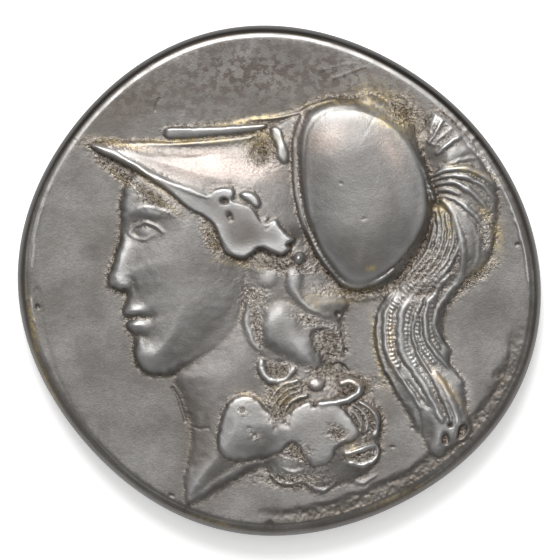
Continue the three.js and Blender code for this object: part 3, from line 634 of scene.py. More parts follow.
NECK_END_OUTLINE = (
    (184, 502), (197, 492), (208, 483), (220, 474.5), (232, 467), (243, 462), (258, 459), (272, 456),
    (284, 452), (276, 460), (262, 466.5), (250, 473), (238, 480), (226, 487.5), (211, 496), (195, 504),
)

# Swellings and hollows of the face: name, forward, down, half length, half height, rise, extra turn
FACE_FORMS = (
    ("brow ridge", -0.34, 0.02, 0.26, 0.07, 0.07, 0), ("eye hollow", -0.22, 0.24, 0.2, 0.13, -0.14, 0),
    ("eyeball", -0.27, 0.27, 0.11, 0.075, 0.12, 0),
    ("bridge of the nose", 0.08, 0.62, 0.09, 0.3, 0.1, 14), ("nose wing", 0.06, 0.9, 0.09, 0.07, 0.08, 0),
    ("crease behind the wing", -0.07, 0.92, 0.035, 0.1, -0.05, -20),
    ("cheek", -0.42, 0.85, 0.3, 0.3, 0.05, 0), ("upper lip", -0.04, 1.22, 0.12, 0.045, 0.09, -8),
    ("mouth line", -0.08, 1.315, 0.15, 0.022, -0.09, -4), ("lower lip", -0.05, 1.4, 0.11, 0.045, 0.08, 4),
    ("fold over the chin", -0.1, 1.55, 0.14, 0.05, -0.05, 0), ("chin", -0.14, 1.78, 0.15, 0.14, 0.08, 0),
    ("corner of the mouth", -0.24, 1.33, 0.05, 0.08, -0.04, 0),
)
# Raised lines of the face: name, path, width, height
FACE_LINES = (
    ("upper lid", ((-0.08, 0.26), (-0.18, 0.18), (-0.3, 0.165), (-0.42, 0.22), (-0.5, 0.3)), 4.5,
      (0.05, 0.09, 0.04)),
    ("lower lid", ((-0.09, 0.28), (-0.18, 0.345), (-0.29, 0.355), (-0.41, 0.31)), 3.5,
      (0.03, 0.05, 0.02)),
    ("brow", ((-0.1, 0.03), (-0.24, -0.035), (-0.42, -0.03), (-0.62, 0.08)), 6, (0.02, 0.05, 0.02)),
)
NOSTRIL = (0.045, 0.955)
NOSTRIL_SIZE = (3, 1.8, 20)


def face_point(place):
    forward, down = place
    a = math.radians(FACE_LEAN)
    return (
        BROW_X - FACE_THIRD * (forward * math.cos(a) - down * math.sin(a)),
        BROW_Y + FACE_THIRD * (down * math.cos(a) + forward * math.sin(a)),
    )


def face_line(places):
    return [face_point(place) for place in places]


def head(sheet):
    skull = sheet.mound(face_line((*PROFILE, *JAW)), *HEAD_SWELL)
    neck = sheet.mound(NECK_OUTLINE, *NECK_SWELL)
    modelling = sheet.none.copy()
    for _, forward, down, long, tall, rise, turn in FACE_FORMS:
        place = face_point((forward, down))
        modelling += sheet.swell((*place, long * FACE_THIRD, tall * FACE_THIRD, FACE_LEAN + turn), rise)
    modelling *= np.clip(skull / FULL_SKIN, 0, 1)
    for _, path, width, height in FACE_LINES:
        modelling += sheet.strand(face_line(path), width, height)
    nostril = sheet.dimple((*face_point(NOSTRIL), *NOSTRIL_SIZE), NOSTRIL_DEPTH)
    return blend_max(skull, neck, NECK_BLEND) + modelling - nostril


# The hair

HAIR_OUTLINE = (
    (234, 240), (262, 232), (290, 226), (310, 226), (326, 262), (337, 280), (345, 292), (350, 304),
    (344, 318), (345, 336), (346, 352), (334, 364), (346, 372), (360, 378), (368, 390), (378, 402),
    (383, 418), (381, 437), (381, 454), (373, 468), (357, 478), (340, 484), (320, 490), (305, 486),
    (285, 485), (270, 474), (262, 458), (240, 440), (232, 420), (252, 398), (268, 386), (262, 362),
    (246, 345), (238, 318), (237, 290),
)
CURLS_OUTLINE = (
    (230, 401), (240, 394.5), (247, 393.5), (254, 395), (260, 400), (267, 407), (274, 412), (283, 414),
    (290, 410), (296, 405.5), (304, 401), (311, 399.5), (317, 404), (324, 401.5), (333, 401), (341, 404),
    (348, 410), (355, 418), (360, 427), (359, 436), (353, 441), (345, 444), (339, 448), (335, 455),
    (330, 461), (322, 465), (315, 465.5), (309, 462), (304, 455), (299, 448), (294, 443), (288, 446),
    (281, 452), (270, 456), (258, 457.5), (245, 460), (232, 459.5), (224, 455), (219, 446), (218.5, 432),
    (221, 420), (226, 408),
)
CURL_NOTCH = (
    (264, 409), (272, 411), (283, 413), (290, 410), (293, 418), (292, 428), (294, 438), (290, 430),
    (281, 428), (275, 434), (272, 424), (269, 415),
)
CURL_HOOK = (
    (
        (320, 404), (332, 402), (344, 400.5), (353, 397), (359.5, 391.5), (360.5, 386), (356, 382),
        (349, 380), (343, 382.5),
    ),
    (8, 9.5, 9), (0.18, 0.24, 0.2),
)

# Smooth worn locks on the hair: outline, step, step width
NAPE_LOCKS = (
    (((286, 268), (294, 262), (303, 267), (305.5, 280), (303.5, 290), (309, 299), (318, 307), (330, 314),
      (327, 317), (316, 315), (304, 310), (295, 302), (287, 293), (283.5, 281)), 0.1, 7),
    (((270, 303), (283, 299), (294, 304), (302, 316), (307, 328), (314, 339), (320, 350), (322, 363),
      (317, 372), (305, 368), (291, 362), (276, 355), (264, 345), (258, 331), (260, 315)), 0.13, 12),
    (((249, 296), (243.5, 304), (241, 318), (243, 331), (248, 342), (256, 351), (265, 355), (267, 351),
      (259, 341), (255, 331), (253, 318), (254, 306), (257.5, 298)), 0.11, 8),
    (((258, 276), (268, 269), (279, 271), (280, 281), (271, 288), (260, 286)), 0.04, 6),
)
# Strands behind the bowl: width, height, and the path of each
BOWL_STRAND = (2.6, 0.05)
BOWL_STRAND_PATHS = tuple(
    ((338 + n, 287 + 3.2 * n), (356 + n, 290 + 3 * n), (374 + n, 289 + 2.4 * n), (392, 281 + 2 * n))
    for n in range(4)
)
RING_CURL = (
    ((262, 362), (263, 371), (269, 378), (279, 381), (288, 377.5), (293, 369)),
    (9, 11, 9), (0.1, 0.15, 0.1),
)
FINE_CURLS = (
    (((270, 405), (276, 391), (286, 384), (298, 380)), (4, 6, 4.5), (0.08, 0.17, 0.13)),
    (((273, 409), (279, 396), (288, 389), (300, 385)), (4, 6, 4.5), (0.08, 0.17, 0.13)),
    (((278, 411), (283, 401), (291, 394), (301, 391)), (4, 6, 4.5), (0.08, 0.17, 0.13)),
    (((284, 413), (289, 404), (297, 398), (307, 395)), (4, 6, 4.5), (0.08, 0.17, 0.13)),
    (((361, 402), (369, 406), (376, 414), (379, 424), (376, 435)), (5, 7, 5), (0.14, 0.2, 0.1)),
    (((355, 405), (363, 411), (368, 420), (367, 431)), (3, 4, 3), (0.1, 0.14, 0.08)),
    (((350, 409), (357, 415), (362, 424), (361, 433)), (3, 3.5, 3), (0.08, 0.12, 0.08)),
    (((346, 453), (355, 451), (364, 448), (376, 444.5)), (4, 5, 4), (0.12, 0.16, 0.12)),
    (((350, 462), (360, 465), (370, 462.5), (378, 457)), (4, 5, 4), (0.1, 0.15, 0.12)),
    (((377, 445), (379, 451), (378, 457)), 4, 0.12),
    (((272, 475), (280, 482), (290, 484), (298, 482), (304, 479)), (3, 5, 3), (0.07, 0.12, 0.06)),
    (((308, 482), (314, 487.5), (321, 490), (329, 488), (336, 482)), (3, 5, 3), (0.06, 0.12, 0.06)),
    (((284, 469), (293, 472), (303, 470)), (3, 4, 3), (0.05, 0.08, 0.05)),
    (((352, 479), (364, 482), (376, 475)), (3, 4, 3), (0.04, 0.05, 0.04)),
)
KNOT = (317, 383.5, 9, 6.5, 0)
# Pits and hollows of the curls: x, y, half length, half width, lean, depth
CURL_PITS = (
    (243, 410, 4.5, 3, 20, 0.05), (254, 434, 6, 1.6, 30, 0.05), (250, 428, 2, 1.6, 0, 0.05),
    (313.5, 404.5, 2, 3, 0, 0.08),
)
CURL_HOLLOWS = ((339, 433, 8, 6, 20, 0.07), (299, 452, 11, 7, 0, 0.06))
HOLLOW_OUTLINE = (
    (312, 330), (322, 326), (334, 330), (342, 342), (343, 358), (336, 368), (324, 368), (319, 356),
    (311, 342),
)


def hair_relief(sheet):
    """Locks and curls over the mass of the hair."""
    relief = sheet.cushion(CURLS_OUTLINE, *CURLS_SWELL)
    relief -= sheet.plateau(CURL_NOTCH, NOTCH_BEVEL) * NOTCH_DEPTH
    for outline, step, width in NAPE_LOCKS:
        relief = np.maximum(relief, sheet.plateau(outline, 2 * width) * step)
    fine = sheet.highest((*FINE_CURLS, RING_CURL, *((path, *BOWL_STRAND) for path in BOWL_STRAND_PATHS)))
    fine = np.maximum(fine, np.sqrt(sheet.dimple(KNOT, 1)) * KNOT_HEIGHT)
    fine = np.maximum(fine, sheet.strand(*CURL_HOOK, flat=LINE_FLATNESS))
    pits = sheet.dimples(CURL_PITS) + sheet.plateau(HOLLOW_OUTLINE, HOLLOW_BEVEL) * HOLLOW_DEPTH
    for *oval, depth in CURL_HOLLOWS:
        pits += sheet.swell(oval, depth)
    return blend_max(relief, fine, CURL_BLEND) - pits


def picture(straight, sheet):
    """Height of the obverse picture over the field. The helmet's lines are straighter than the rest."""
    helmet_height = blend_max(helmet(straight), crest(sheet), EDGE_BLEND)
    skin = blend_max(head(sheet), sheet.mound(HAIR_OUTLINE, *HAIR_SWELL), HAIR_BLEND)
    skin += sheet.plateau(NECK_END_OUTLINE, NECK_END_BEVEL) * NECK_END_HEIGHT
    skin += hair_relief(sheet)
    covered = straight.inside(HELMET_OUTLINE)
    under_helmet = np.maximum(helmet_height, np.minimum(skin, SKIN_UNDER_HELMET))
    return np.where(covered, under_helmet, blend_max(helmet_height, skin, EDGE_BLEND))


# Wear, damage, toning and painted light on the sheet

# Raised lines along the rim and the grooves beside them: path, width, height
RIM_RIDGES = (
    (((31, 299), (34, 325), (39, 350), (46, 373), (55, 396), (66, 416), (78, 433)), 4.5, 0.06),
    (((444, 118), (456, 128), (468, 139.5), (478, 151), (488, 164), (496, 176), (504, 189)), 6, 0.09),
    (((504, 189), (511, 204), (517, 222), (524, 244), (528, 272), (535, 300), (538, 312)), 4, 0.05),
    (((430, 480), (416, 487), (403, 495), (390, 500), (376, 504), (362, 508)), 3, 0.05),
    (((184, 512), (200, 518.5), (216, 523), (230, 527), (244, 535)), 3.5, 0.06),
    (((103, 447), (120, 466), (136, 484), (152, 498), (170, 508)), 3.5, 0.04),
    (((75, 134), (60, 160), (49, 187), (40, 212), (35, 240), (33, 266)), 4, 0.03),
    (((512, 393), (505, 403), (498, 422), (489, 431), (476, 443)), 5, 0.07),
)
RIM_GROOVES = (
    (((38, 290), (41, 312), (44, 332), (50, 354), (58, 378), (68, 399), (84, 424)), 8, 0.02),
    (((262, 512), (290, 514), (330, 511), (365, 502)), 9, 0.015),
)
RIDGE_TAPER = ((1, 1, 1), (0.3, 1, 0.3))
# Scratches and nicks: path, width, depth
SCRATCHES = (
    (((160, 98), (157.5, 104), (156, 110)), 1.8, 0.05),
    (((173, 387), (179, 397), (183, 409), (186, 421)), 2.4, 0.06),
    (((195, 426), (201, 428.5), (209, 428)), 2.0, 0.04),
    (((334, 365), (341, 363.5), (348, 370)), 3.2, 0.1),
    (((320, 70), (338, 65), (358, 62)), 1.5, -0.015),
    (((333, 78), (350, 72), (366, 66)), 1.8, -0.02),
)
# Pits: x, y, half length, half width, lean, depth
PITS = (
    (270.5, 527, 7.5, 7, 0, 0.09), (142, 483, 4, 2.5, 30, 0.06), (172, 495, 3, 2, 20, 0.05),
    (189, 505, 3, 2, 20, 0.05), (338, 313, 3.4, 4, 20, 0.12), (346, 349.5, 2.4, 2.8, 0, 0.12),
    (345, 365, 2, 2, 0, 0.05), (26.5, 296, 3.4, 1.6, 10, 0.08), (38.5, 306, 3.2, 1.8, 60, 0.08),
    (393, 446, 1.8, 1.8, 0, 0.06), (413, 427, 1.8, 1.6, 0, 0.06), (518, 243.5, 2, 1.6, 0, 0.08),
    (528.5, 245, 1.8, 1.6, 0, 0.06), (531, 262, 2.6, 1.6, 60, 0.05), (301, 508, 1.8, 1.4, 0, 0.04),
    (85, 470, 2, 2, 0, 0.05), (365, 218, 4, 2, -10, 0.02), (342, 183, 3, 2, 0, 0.02),
)
# Places of toning, corrosion and painted highlight: x, y, half length, half width, lean, strength. Gold
# is golden toning, and along edges that face the light also a painted highlight; peach is a painted
# highlight
GOLD_PLACES = (
    (254, 119, 34, 2.6, -9, 1.0), (190, 140.5, 74, 2.6, -2, 0.9), (120, 143, 24, 3.5, 10, 0.7),
    (262, 140, 14, 13, 0, 0.7), (385, 122, 12, 5, 30, 1.0), (340, 102, 32, 3, -5, 0.7),
    (372, 268, 6, 3.5, -15, 1.0), (441, 206, 7, 8, 30, 1.0), (450, 224, 5, 12, 0, 0.6),
    (402, 122, 12, 18, -30, 0.7), (472, 171, 24, 3, 18, 0.9), (486, 213, 8, 5, 60, 0.6),
    (497, 236, 6, 18, 0, 0.6), (480, 268, 14, 5, -40, 0.5), (352, 290, 26, 4, -4, 0.6),
    (252, 396, 13, 4, 15, 0.4), (378, 350, 3, 34, -10, 0.6), (446, 384, 22, 3, 50, 0.9),
    (391.5, 340, 3, 24, -4, 0.7), (355, 382, 10, 3, 10, 0.5), (284, 396, 14, 12, 0, 0.5),
    (352, 445, 8, 8, 0, 0.5), (34, 332, 2.6, 32, -10, 1.2), (49, 384, 3, 34, -24, 1.2),
    (214, 521, 22, 2.4, 14, 0.8), (398, 496, 30, 2.4, -24, 0.8), (118, 175, 20, 3, 36, 0.4),
    (160, 200, 22, 3, 34, 0.4), (212, 240, 5, 14, -25, 0.4), (240, 262, 24, 4, 8, 0.5),
    (318, 300, 20, 10, 0, 0.3), (346, 300, 20, 5, -5, 0.4), (380, 100, 26, 16, 30, 0.5),
    (152, 180, 30, 4, 34, 0.5),
)
RED_PLACES = (
    (250, 72, 95, 34, 0, 1.0), (330, 72, 60, 26, 10, 0.9), (150, 92, 50, 22, -20, 0.7),
    (390, 98, 34, 20, 30, 0.8), (200, 105, 90, 18, 0, 0.5), (366, 92, 40, 12, 12, 0.9),
)
ROUGH_PLACES = (
    (279, 417, 9, 7, 10, 0.9), (243, 411, 6, 4, 20, 0.7), (256, 436, 9, 5, 35, 0.5),
    (316, 405, 5, 4, 0, 0.7), (330, 341, 14, 17, -10, 1.0), (262, 148, 13, 18, 0, 1.0),
    (284, 396, 16, 13, -20, 0.9), (339, 433, 10, 8, 20, 0.9), (299, 452, 13, 9, 0, 0.9),
    (277, 369, 13, 8, 0, 1.0), (258, 322, 3.5, 24, -6, 0.8), (316, 322, 20, 5, 20, 0.8),
    (345, 391, 10, 9, 0, 0.9), (280, 264, 34, 7, 8, 0.9), (367, 420, 10, 16, 0, 0.8),
    (360, 455, 14, 5, -10, 0.8), (424, 272, 26, 22, -40, 0.7), (488, 228, 8, 22, 0, 0.7),
    (350, 289, 28, 7, 0, 0.8), (118, 172, 24, 5, 36, 1.0), (152, 196, 26, 7, 35, 1.0),
    (212, 240, 6, 18, -25, 1.0), (255, 296, 14, 12, 10, 0.6), (300, 478, 36, 8, 0, 0.7),
    (352, 382, 30, 8, 0, 0.7), (476, 276, 22, 6, -36, 0.9), (404, 112, 12, 16, -30, 0.9),
    (440, 124, 16, 18, 30, 0.5), (110, 145, 26, 5, 6, 0.7), (330, 372, 22, 6, 10, 0.8),
    (300, 385, 30, 5, -10, 0.7),
)
# Painted highlight with a warm peach tint, on parts that face the light
PEACH_HIGHLIGHT_PLACES = (
    (222, 166, 62, 15, 4, 1.0), (322, 140, 20, 15, -10, 0.9), (392, 150, 9, 22, -30, 0.8),
    (303, 122, 5, 12, 25, 0.8), (296, 150, 3, 40, -4, 0.5), (446, 386, 24, 4, 50, 0.9),
    (255, 397, 14, 3, 25, 0.8), (374, 408, 4, 12, -30, 0.8), (317, 383, 9, 6, 0, 0.7),
    (352, 382, 11, 3, 10, 0.8), (128, 146, 26, 4, 8, 0.8), (391.5, 345, 3, 22, -4, 0.8),
)
# Places worn bright, and places brightened as a painted highlight where a part is turned to the light,
# such as the hooks of the scroll and the plate under the visor ridge
WORN_AND_HIGHLIGHT_PLACES = (
    (350, 185, 46, 60, 0, 0.3), (410, 195, 14, 34, 0, 0.4), (190, 300, 60, 60, 0, 0.15),
    (424, 372, 26, 62, -28, 0.8), (244, 428, 26, 26, 0, 0.6), (226, 190, 10, 4, 0, 1.0),
    (253, 197, 9, 4.5, 30, 0.9), (282, 145, 5, 17, -14, 1.0), (166, 184, 58, 8, 33, 0.8),
    (290, 330, 24, 24, 30, 0.3), (465, 235, 9, 30, -10, 0.3), (468, 392, 6, 14, -10, 0.5),
)
# Darker places: cloudy toning of the field, and painted shade on parts of the relief, such as the top and
# the foot of the bowl
DARK_PLACES = (
    (130, 108, 46, 22, -30, 0.8), (350, 100, 60, 14, 10, 0.7), (412, 110, 16, 26, -25, 0.9),
    (470, 250, 30, 8, -60, 0.3), (360, 128, 26, 12, 10, 0.4), (420, 246, 14, 18, 10, 0.5),
    (362, 262, 30, 20, 0, 0.3), (250, 82, 130, 36, 0, 0.45), (198, 420, 24, 60, -8, 0.6),
    (246, 232, 22, 18, 30, 0.4), (90, 215, 30, 60, 20, 0.2),
)
TONINGS_AND_PAINTED_LIGHT = {"gold": GOLD_PLACES, "red": RED_PLACES, "peach_highlight": PEACH_HIGHLIGHT_PLACES, "dark": DARK_PLACES}


def marks(sheet):
    """Height that damage along the rim and on the field adds or takes away."""
    height = sheet.highest(tapered(RIM_RIDGES, *RIDGE_TAPER)) - sheet.highest(RIM_GROOVES)
    for path, width, depth in SCRATCHES:
        height -= sheet.strand(path, width, depth)
    return height - sheet.dimples(PITS)


def strength_of_places(sheet, places):
    """Strength of a set of places, toning, wear or painted light, from 0 to 1, at every point."""
    strength = sheet.none.copy()
    for *oval, amount in places:
        strength = np.maximum(strength, sheet.swell(oval, amount))
    return strength


# The flan

def waves_at(angle):
    """The hammered outline's reach at an angle, as a share of the mean."""
    waves = (share * np.cos(order * angle + math.radians(phase)) for order, share, phase in OUTLINE_WAVES)
    return 1 + sum(waves)


ROUND = 2 * math.pi * np.arange(720) / 720
ROUGH_X = waves_at(ROUND) * np.cos(ROUND)
ROUGH_Y = waves_at(ROUND) * np.sin(ROUND)
SCALE_X = COIN_WIDTH / np.ptp(ROUGH_X)
SCALE_Y = COIN_HEIGHT / np.ptp(ROUGH_Y)
SHIFT_X = -SCALE_X * (ROUGH_X.min() + ROUGH_X.max()) / 2
SHIFT_Y = -SCALE_Y * (ROUGH_Y.min() + ROUGH_Y.max()) / 2
RIM_SCALE = min(SCALE_X, SCALE_Y)


def plan_point(angle, share):
    """Plan of a point that lies a share of the way from the middle to the rim."""
    reach = waves_at(angle) * share
    return SHIFT_X + SCALE_X * reach * np.cos(angle), SHIFT_Y + SCALE_Y * reach * np.sin(angle)


def share_at(angle, inset):
    """Share of the way to the rim of a point that lies a given distance in from it."""
    return 1 - inset / (waves_at(angle) * RIM_SCALE)


def inset_at(angle, share):
    return (1 - share) * waves_at(angle) * RIM_SCALE


def ledge_strength(angle):
    turn = np.abs((np.degrees(angle) - LEDGE_MIDDLE + 540) % 360 - 180)
    return smooth_step((LEDGE_SPREAD - turn) / LEDGE_FADE)


def lozenge_ring(angle, reach, count, ring_reach):
    """A ring of pointed lozenges that touch side to side: 1 on their flat tops, 0 between them."""
    half = math.pi / count
    aside = np.abs(angle - 2 * half * np.round(angle / (2 * half)))
    outward = np.abs(np.log(np.maximum(reach, SMALL) / ring_reach))
    return np.clip((1 - (aside + outward) / half) / BEVEL_SHARE, 0, 1)


def reverse_height(angle, share):
    """The reverse's tops are worn flat where they touch the table."""
    reach = share / share_at(angle, REVERSE_SHOULDER_WIDTH)
    hub = np.clip((1 - reach / HUB_REACH) / BEVEL_SHARE, 0, 1)
    ring = lozenge_ring(angle, reach, RING_LOZENGES, RING_REACH)
    petals = lozenge_ring(angle, reach, PETALS, PETAL_REACH)
    return REVERSE_DEPTH * (1 - np.maximum(hub, np.maximum(ring, petals)))


# The mesh

def disc_rings(rings):
    """A disc of rings with six more points each: ring number and angle of every point, and triangles."""
    ring = np.concatenate([[0], *(np.full(6 * k, k) for k in range(1, rings + 1))])
    turn = np.concatenate([[0.0], *(np.arange(6 * k) / (6 * k) for k in range(1, rings + 1))])
    triangles = []
    for k in range(1, rings + 1):
        outer_start = 1 + 3 * k * (k - 1)
        inner_start = 1 + 3 * (k - 1) * (k - 2) if k > 1 else 0
        inner_count = max(1, 6 * (k - 1))
        side, j = np.divmod(np.arange(6 * k), k)
        outer = outer_start + side * k + j
        outer_next = outer_start + (side * k + j + 1) % (6 * k)
        inner = inner_start + (side * (k - 1) + j) % inner_count
        triangles.append(np.stack([inner, outer, outer_next], 1))
        side, j = np.divmod(np.arange(6 * (k - 1)), max(1, k - 1))
        outer_next = outer_start + (side * k + j + 1) % (6 * k)
        inner = inner_start + side * (k - 1) + j
        inner_next = inner_start + (side * (k - 1) + j + 1) % inner_count
        triangles.append(np.stack([inner, outer_next, inner_next], 1))
    return ring, 2 * math.pi * turn, np.vstack(triangles)


def band(upper, lower):
    """Triangles between two rings with the same number of points."""
    upper_next, lower_next = np.roll(upper, -1), np.roll(lower, -1)
    first = np.stack([upper, lower, lower_next], 1)
    return np.vstack([first, np.stack([upper, lower_next, upper_next], 1)])


def halving_band(upper, lower):
    """Triangles between a ring and one with half as many points."""
    even, odd, after = upper[0::2], upper[1::2], np.roll(upper, -1)[1::2]
    lower_next = np.roll(lower, -1)
    return np.vstack([
        np.stack([even, lower, odd], 1),
        np.stack([odd, lower, lower_next], 1),
        np.stack([odd, lower_next, after], 1),
    ])


def smoothed(values, triangles, passes):
    """Values at the points, each pass moved half way to the mean of their neighbours."""
    ends = np.vstack([triangles[:, [0, 1]], triangles[:, [1, 2]], triangles[:, [2, 0]]]).T
    count = np.bincount(ends[0], minlength=len(values)) + np.bincount(ends[1], minlength=len(values))
    for _ in range(passes):
        total = np.bincount(ends[0], values[ends[1]], len(values))
        total += np.bincount(ends[1], values[ends[0]], len(values))
        values = (values + total / count) / 2
    return values


def steepness(points, triangles):
    """Slope of the surface at each point, from 0 level to 1 upright."""
    corners = points[triangles]
    facing = np.cross(corners[:, 1] - corners[:, 0], corners[:, 2] - corners[:, 0])
    total = np.zeros(points.shape)
    for axis in range(3):
        for k in range(3):
            total[:, axis] += np.bincount(triangles[:, k], facing[:, axis], len(points))
    return 1 - np.abs(total[:, 2]) / np.linalg.norm(total, axis=1)


def noise_field(x, y, size, seed):
    """Smooth noise from -1 to 1 on the sheet, with lumps of a given size."""
    values = np.random.default_rng(seed).uniform(-1, 1, (NOISE_CELLS, NOISE_CELLS))
    column, row = x / size, y / size
    i, j = np.floor(column).astype(int), np.floor(row).astype(int)
    u, v = smooth_step(column - i), smooth_step(row - j)
    corner = [[values[(i + a) % NOISE_CELLS, (j + b) % NOISE_CELLS] for b in (0, 1)] for a in (0, 1)]
    near = corner[0][0] * (1 - u) + corner[1][0] * u
    far = corner[0][1] * (1 - u) + corner[1][1] * u
    return near * (1 - v) + far * v


def on_sheet(x, y):
    return SHEET_MIDDLE + x / UNIT, SHEET_MIDDLE - y / UNIT


def surface_masks(sheet, relief, near_mean, wide_mean):
    """Shares of recess, wear, painted highlight, toning and painted shade at every point of the obverse.
    """
    recess = np.clip((near_mean - relief) / FULL_RECESS, 0, 1)
    wear_and_highlight = np.clip((relief - wide_mean) / FULL_WEAR, 0, 1)
    wear_and_highlight = np.maximum(wear_and_highlight, strength_of_places(sheet, WORN_AND_HIGHLIGHT_PLACES))
    wear_and_highlight = np.maximum(wear_and_highlight, np.clip(sheet.highest(RIM_RIDGES) / FULL_RIDGE, 0, 1))
    rough = strength_of_places(sheet, ROUGH_PLACES) * (1 - WEAR_CLEARS * wear_and_highlight) + RECESS_BRINGS * recess
    masks = {"recess": recess, "wear_and_highlight": wear_and_highlight, "rough": np.clip(rough, 0, 1)}
    for name, places in TONINGS_AND_PAINTED_LIGHT.items():
        masks[name] = strength_of_places(sheet, places)
    return masks


def obverse_face():
    """Points, triangles and surface shares of the obverse."""
    ring, angle, triangles = disc_rings(OBVERSE_RINGS)
    share = share_at(angle, SHOULDER_WIDTH) * ring / OBVERSE_RINGS
    x, y = plan_point(angle, share)
    across, down = on_sheet(x, y)
    wobble = [EDGE_WOBBLE * noise_field(across, down, WOBBLE_SIZE, seed) for seed in (7, 8)]
    sheet = Sheet(across + wobble[0], down + wobble[1])
    straight = Sheet(across + HELMET_WOBBLE * wobble[0], down + HELMET_WOBBLE * wobble[1])
    from_rim = inset_at(angle, share)
    fade = smooth_step((from_rim - SHOULDER_WIDTH) / PICTURE_FADE)
    relief = smoothed(picture(straight, sheet) * fade, triangles, WEAR_PASSES)
    ragged = LEDGE_WIDTH + LEDGE_RAGGED * noise_field(across, down, LEDGE_LUMPS, 9)
    ledge = ledge_strength(angle) * (1 - smooth_step((from_rim - ragged) / LEDGE_SLOPE))

    near_mean = smoothed(relief, triangles, NEAR_PASSES)
    wide_mean = smoothed(near_mean, triangles, WIDE_PASSES)
    masks = surface_masks(sheet, relief, near_mean, wide_mean)
    grain = noise_field(sheet.x, sheet.y, FINE_GRAIN, 3)
    grain += COARSE_SHARE * noise_field(sheet.x, sheet.y, COARSE_GRAIN, 4)
    relief += GRAIN_HEIGHT * grain * (FIELD_GRAIN + np.maximum(masks["rough"], LEDGE_GRAIN * ledge))
    relief += FIELD_WAVE_SHARE * GRAIN_HEIGHT * noise_field(sheet.x, sheet.y, FIELD_WAVE, 5)
    relief += smoothed(marks(sheet), triangles, 1)
    masks["shade"] = np.clip((wide_mean - relief) / FULL_SHADE, 0, 1)
    masks["ledge"] = ledge
    return np.stack([x, y, FIELD_LEVEL - LEDGE_DEPTH * ledge + relief], 1), triangles, masks


def reverse_face():
    """Points and triangles of the reverse."""
    ring, angle, triangles = disc_rings(REVERSE_RINGS)
    share = share_at(angle, REVERSE_SHOULDER_WIDTH) * ring / REVERSE_RINGS
    x, y = plan_point(angle, share)
    return np.stack([x, y, reverse_height(angle, share)], 1), triangles[:, ::-1]


SHOULDER_SHARES = np.arange(1, SHOULDER_RINGS + 1) / SHOULDER_RINGS
TOP_SIDE = FIELD_LEVEL - SHOULDER_DROP
LOW_SIDE = REVERSE_DEPTH + REVERSE_SHOULDER_DROP


def edge_ring(angle, inset, level):
    """Points of one ring of the edge, a distance in from the rim."""
    x, y = plan_point(angle, share_at(angle, inset))
    return np.stack([x, y, np.broadcast_to(level, angle.shape)], 1)


def shoulder_rings(angle, rim_level):
    """Rings down the rounded and dented shoulder of the obverse."""
    rings = []
    for out in SHOULDER_SHARES:
        circle_x, circle_y = DENT_CIRCLE * np.cos(angle) * out, DENT_CIRCLE * np.sin(angle) * out
        dents = DENT_DEPTH * math.sin(math.pi * out) * noise_field(circle_x, circle_y, DENT_SIZE, 6)
        fall = SHOULDER_BEVEL * out + (1 - SHOULDER_BEVEL) * out**SHOULDER_CURVE
        level = rim_level - (rim_level - TOP_SIDE) * fall + dents
        rings.append(edge_ring(angle, SHOULDER_WIDTH * (1 - out), level))
    return rings


def side_rings(angle):
    """Rings down the upright side and round the shoulder of the reverse."""
    rings = []
    for n in range(1, SIDE_RINGS + 1):
        rings.append(edge_ring(angle, 0, TOP_SIDE + (LOW_SIDE - TOP_SIDE) * n / SIDE_RINGS))
    for n in range(REVERSE_SHOULDER_RINGS - 1, 0, -1):
        quarter = math.pi / 2 * n / REVERSE_SHOULDER_RINGS
        level = LOW_SIDE + (REVERSE_DEPTH - LOW_SIDE) * math.cos(quarter)
        rings.append(edge_ring(angle, REVERSE_SHOULDER_WIDTH * (1 - math.sin(quarter)), level))
    return rings


def black_shares():
    """Share of black, partly toning and partly painted shade, on each ring of the edge, from the top
    down.
    """
    shoulder = smooth_step((SHOULDER_SHARES - BLACK_START) / BLACK_SPREAD)
    below = [SIDE_TONING * n / REVERSE_SHOULDER_RINGS for n in range(REVERSE_SHOULDER_RINGS - 1, 0, -1)]
    return [*shoulder, *[SIDE_TONING] * SIDE_RINGS, *below]


def highlight_shares(angle):
    """Share of painted highlight on the rings of the shoulder, strongest on the side toward the light."""
    circle_x = BRIGHT_LINE_MIDDLE + BRIGHT_LINE_CIRCLE * np.cos(angle)
    circle_y = BRIGHT_LINE_MIDDLE + BRIGHT_LINE_CIRCLE * np.sin(angle)
    uneven = BRIGHT_LINE_MEAN + BRIGHT_LINE_SWING * noise_field(circle_x, circle_y, BRIGHT_LINE_LUMPS, 10)
    lit = smooth_step(np.sin(angle - BRIGHT_LINE_TURN) + BRIGHT_LINE_EXTRA) * uneven
    return np.outer(smooth_step((BRIGHT_LINE_END - SHOULDER_SHARES) / BRIGHT_LINE_SPREAD), lit).ravel()


def coin_masks(face_masks, points, triangles, angle):
    """The obverse's shares, carried on over the edge and the reverse, and those of the edge."""
    on_face = len(face_masks["wear_and_highlight"])
    beyond = np.zeros(len(points) - on_face)
    masks = {name: np.concatenate([mask, beyond]) for name, mask in face_masks.items()}
    highlight = highlight_shares(angle)
    shoulder = slice(on_face, on_face + len(highlight))
    # The shoulder's painted highlight, in the colour of worn silver
    masks["wear_and_highlight"][shoulder] = highlight
    masks["gold"][shoulder] = strength_of_places(Sheet(*on_sheet(*points[shoulder, :2].T)), GOLD_PLACES)
    masks["steep"] = smoothed(steepness(points, triangles), triangles, 2)
    # Painted shade makes the rim's black strongest at the top
    black = np.outer(black_shares(), BLACK_MEAN + BLACK_SWING * np.sin(angle)).ravel()
    rim = np.zeros(len(points))
    rim[on_face:on_face + len(black)] = black
    masks["rim"] = smoothed(rim, triangles, 2)
    return masks


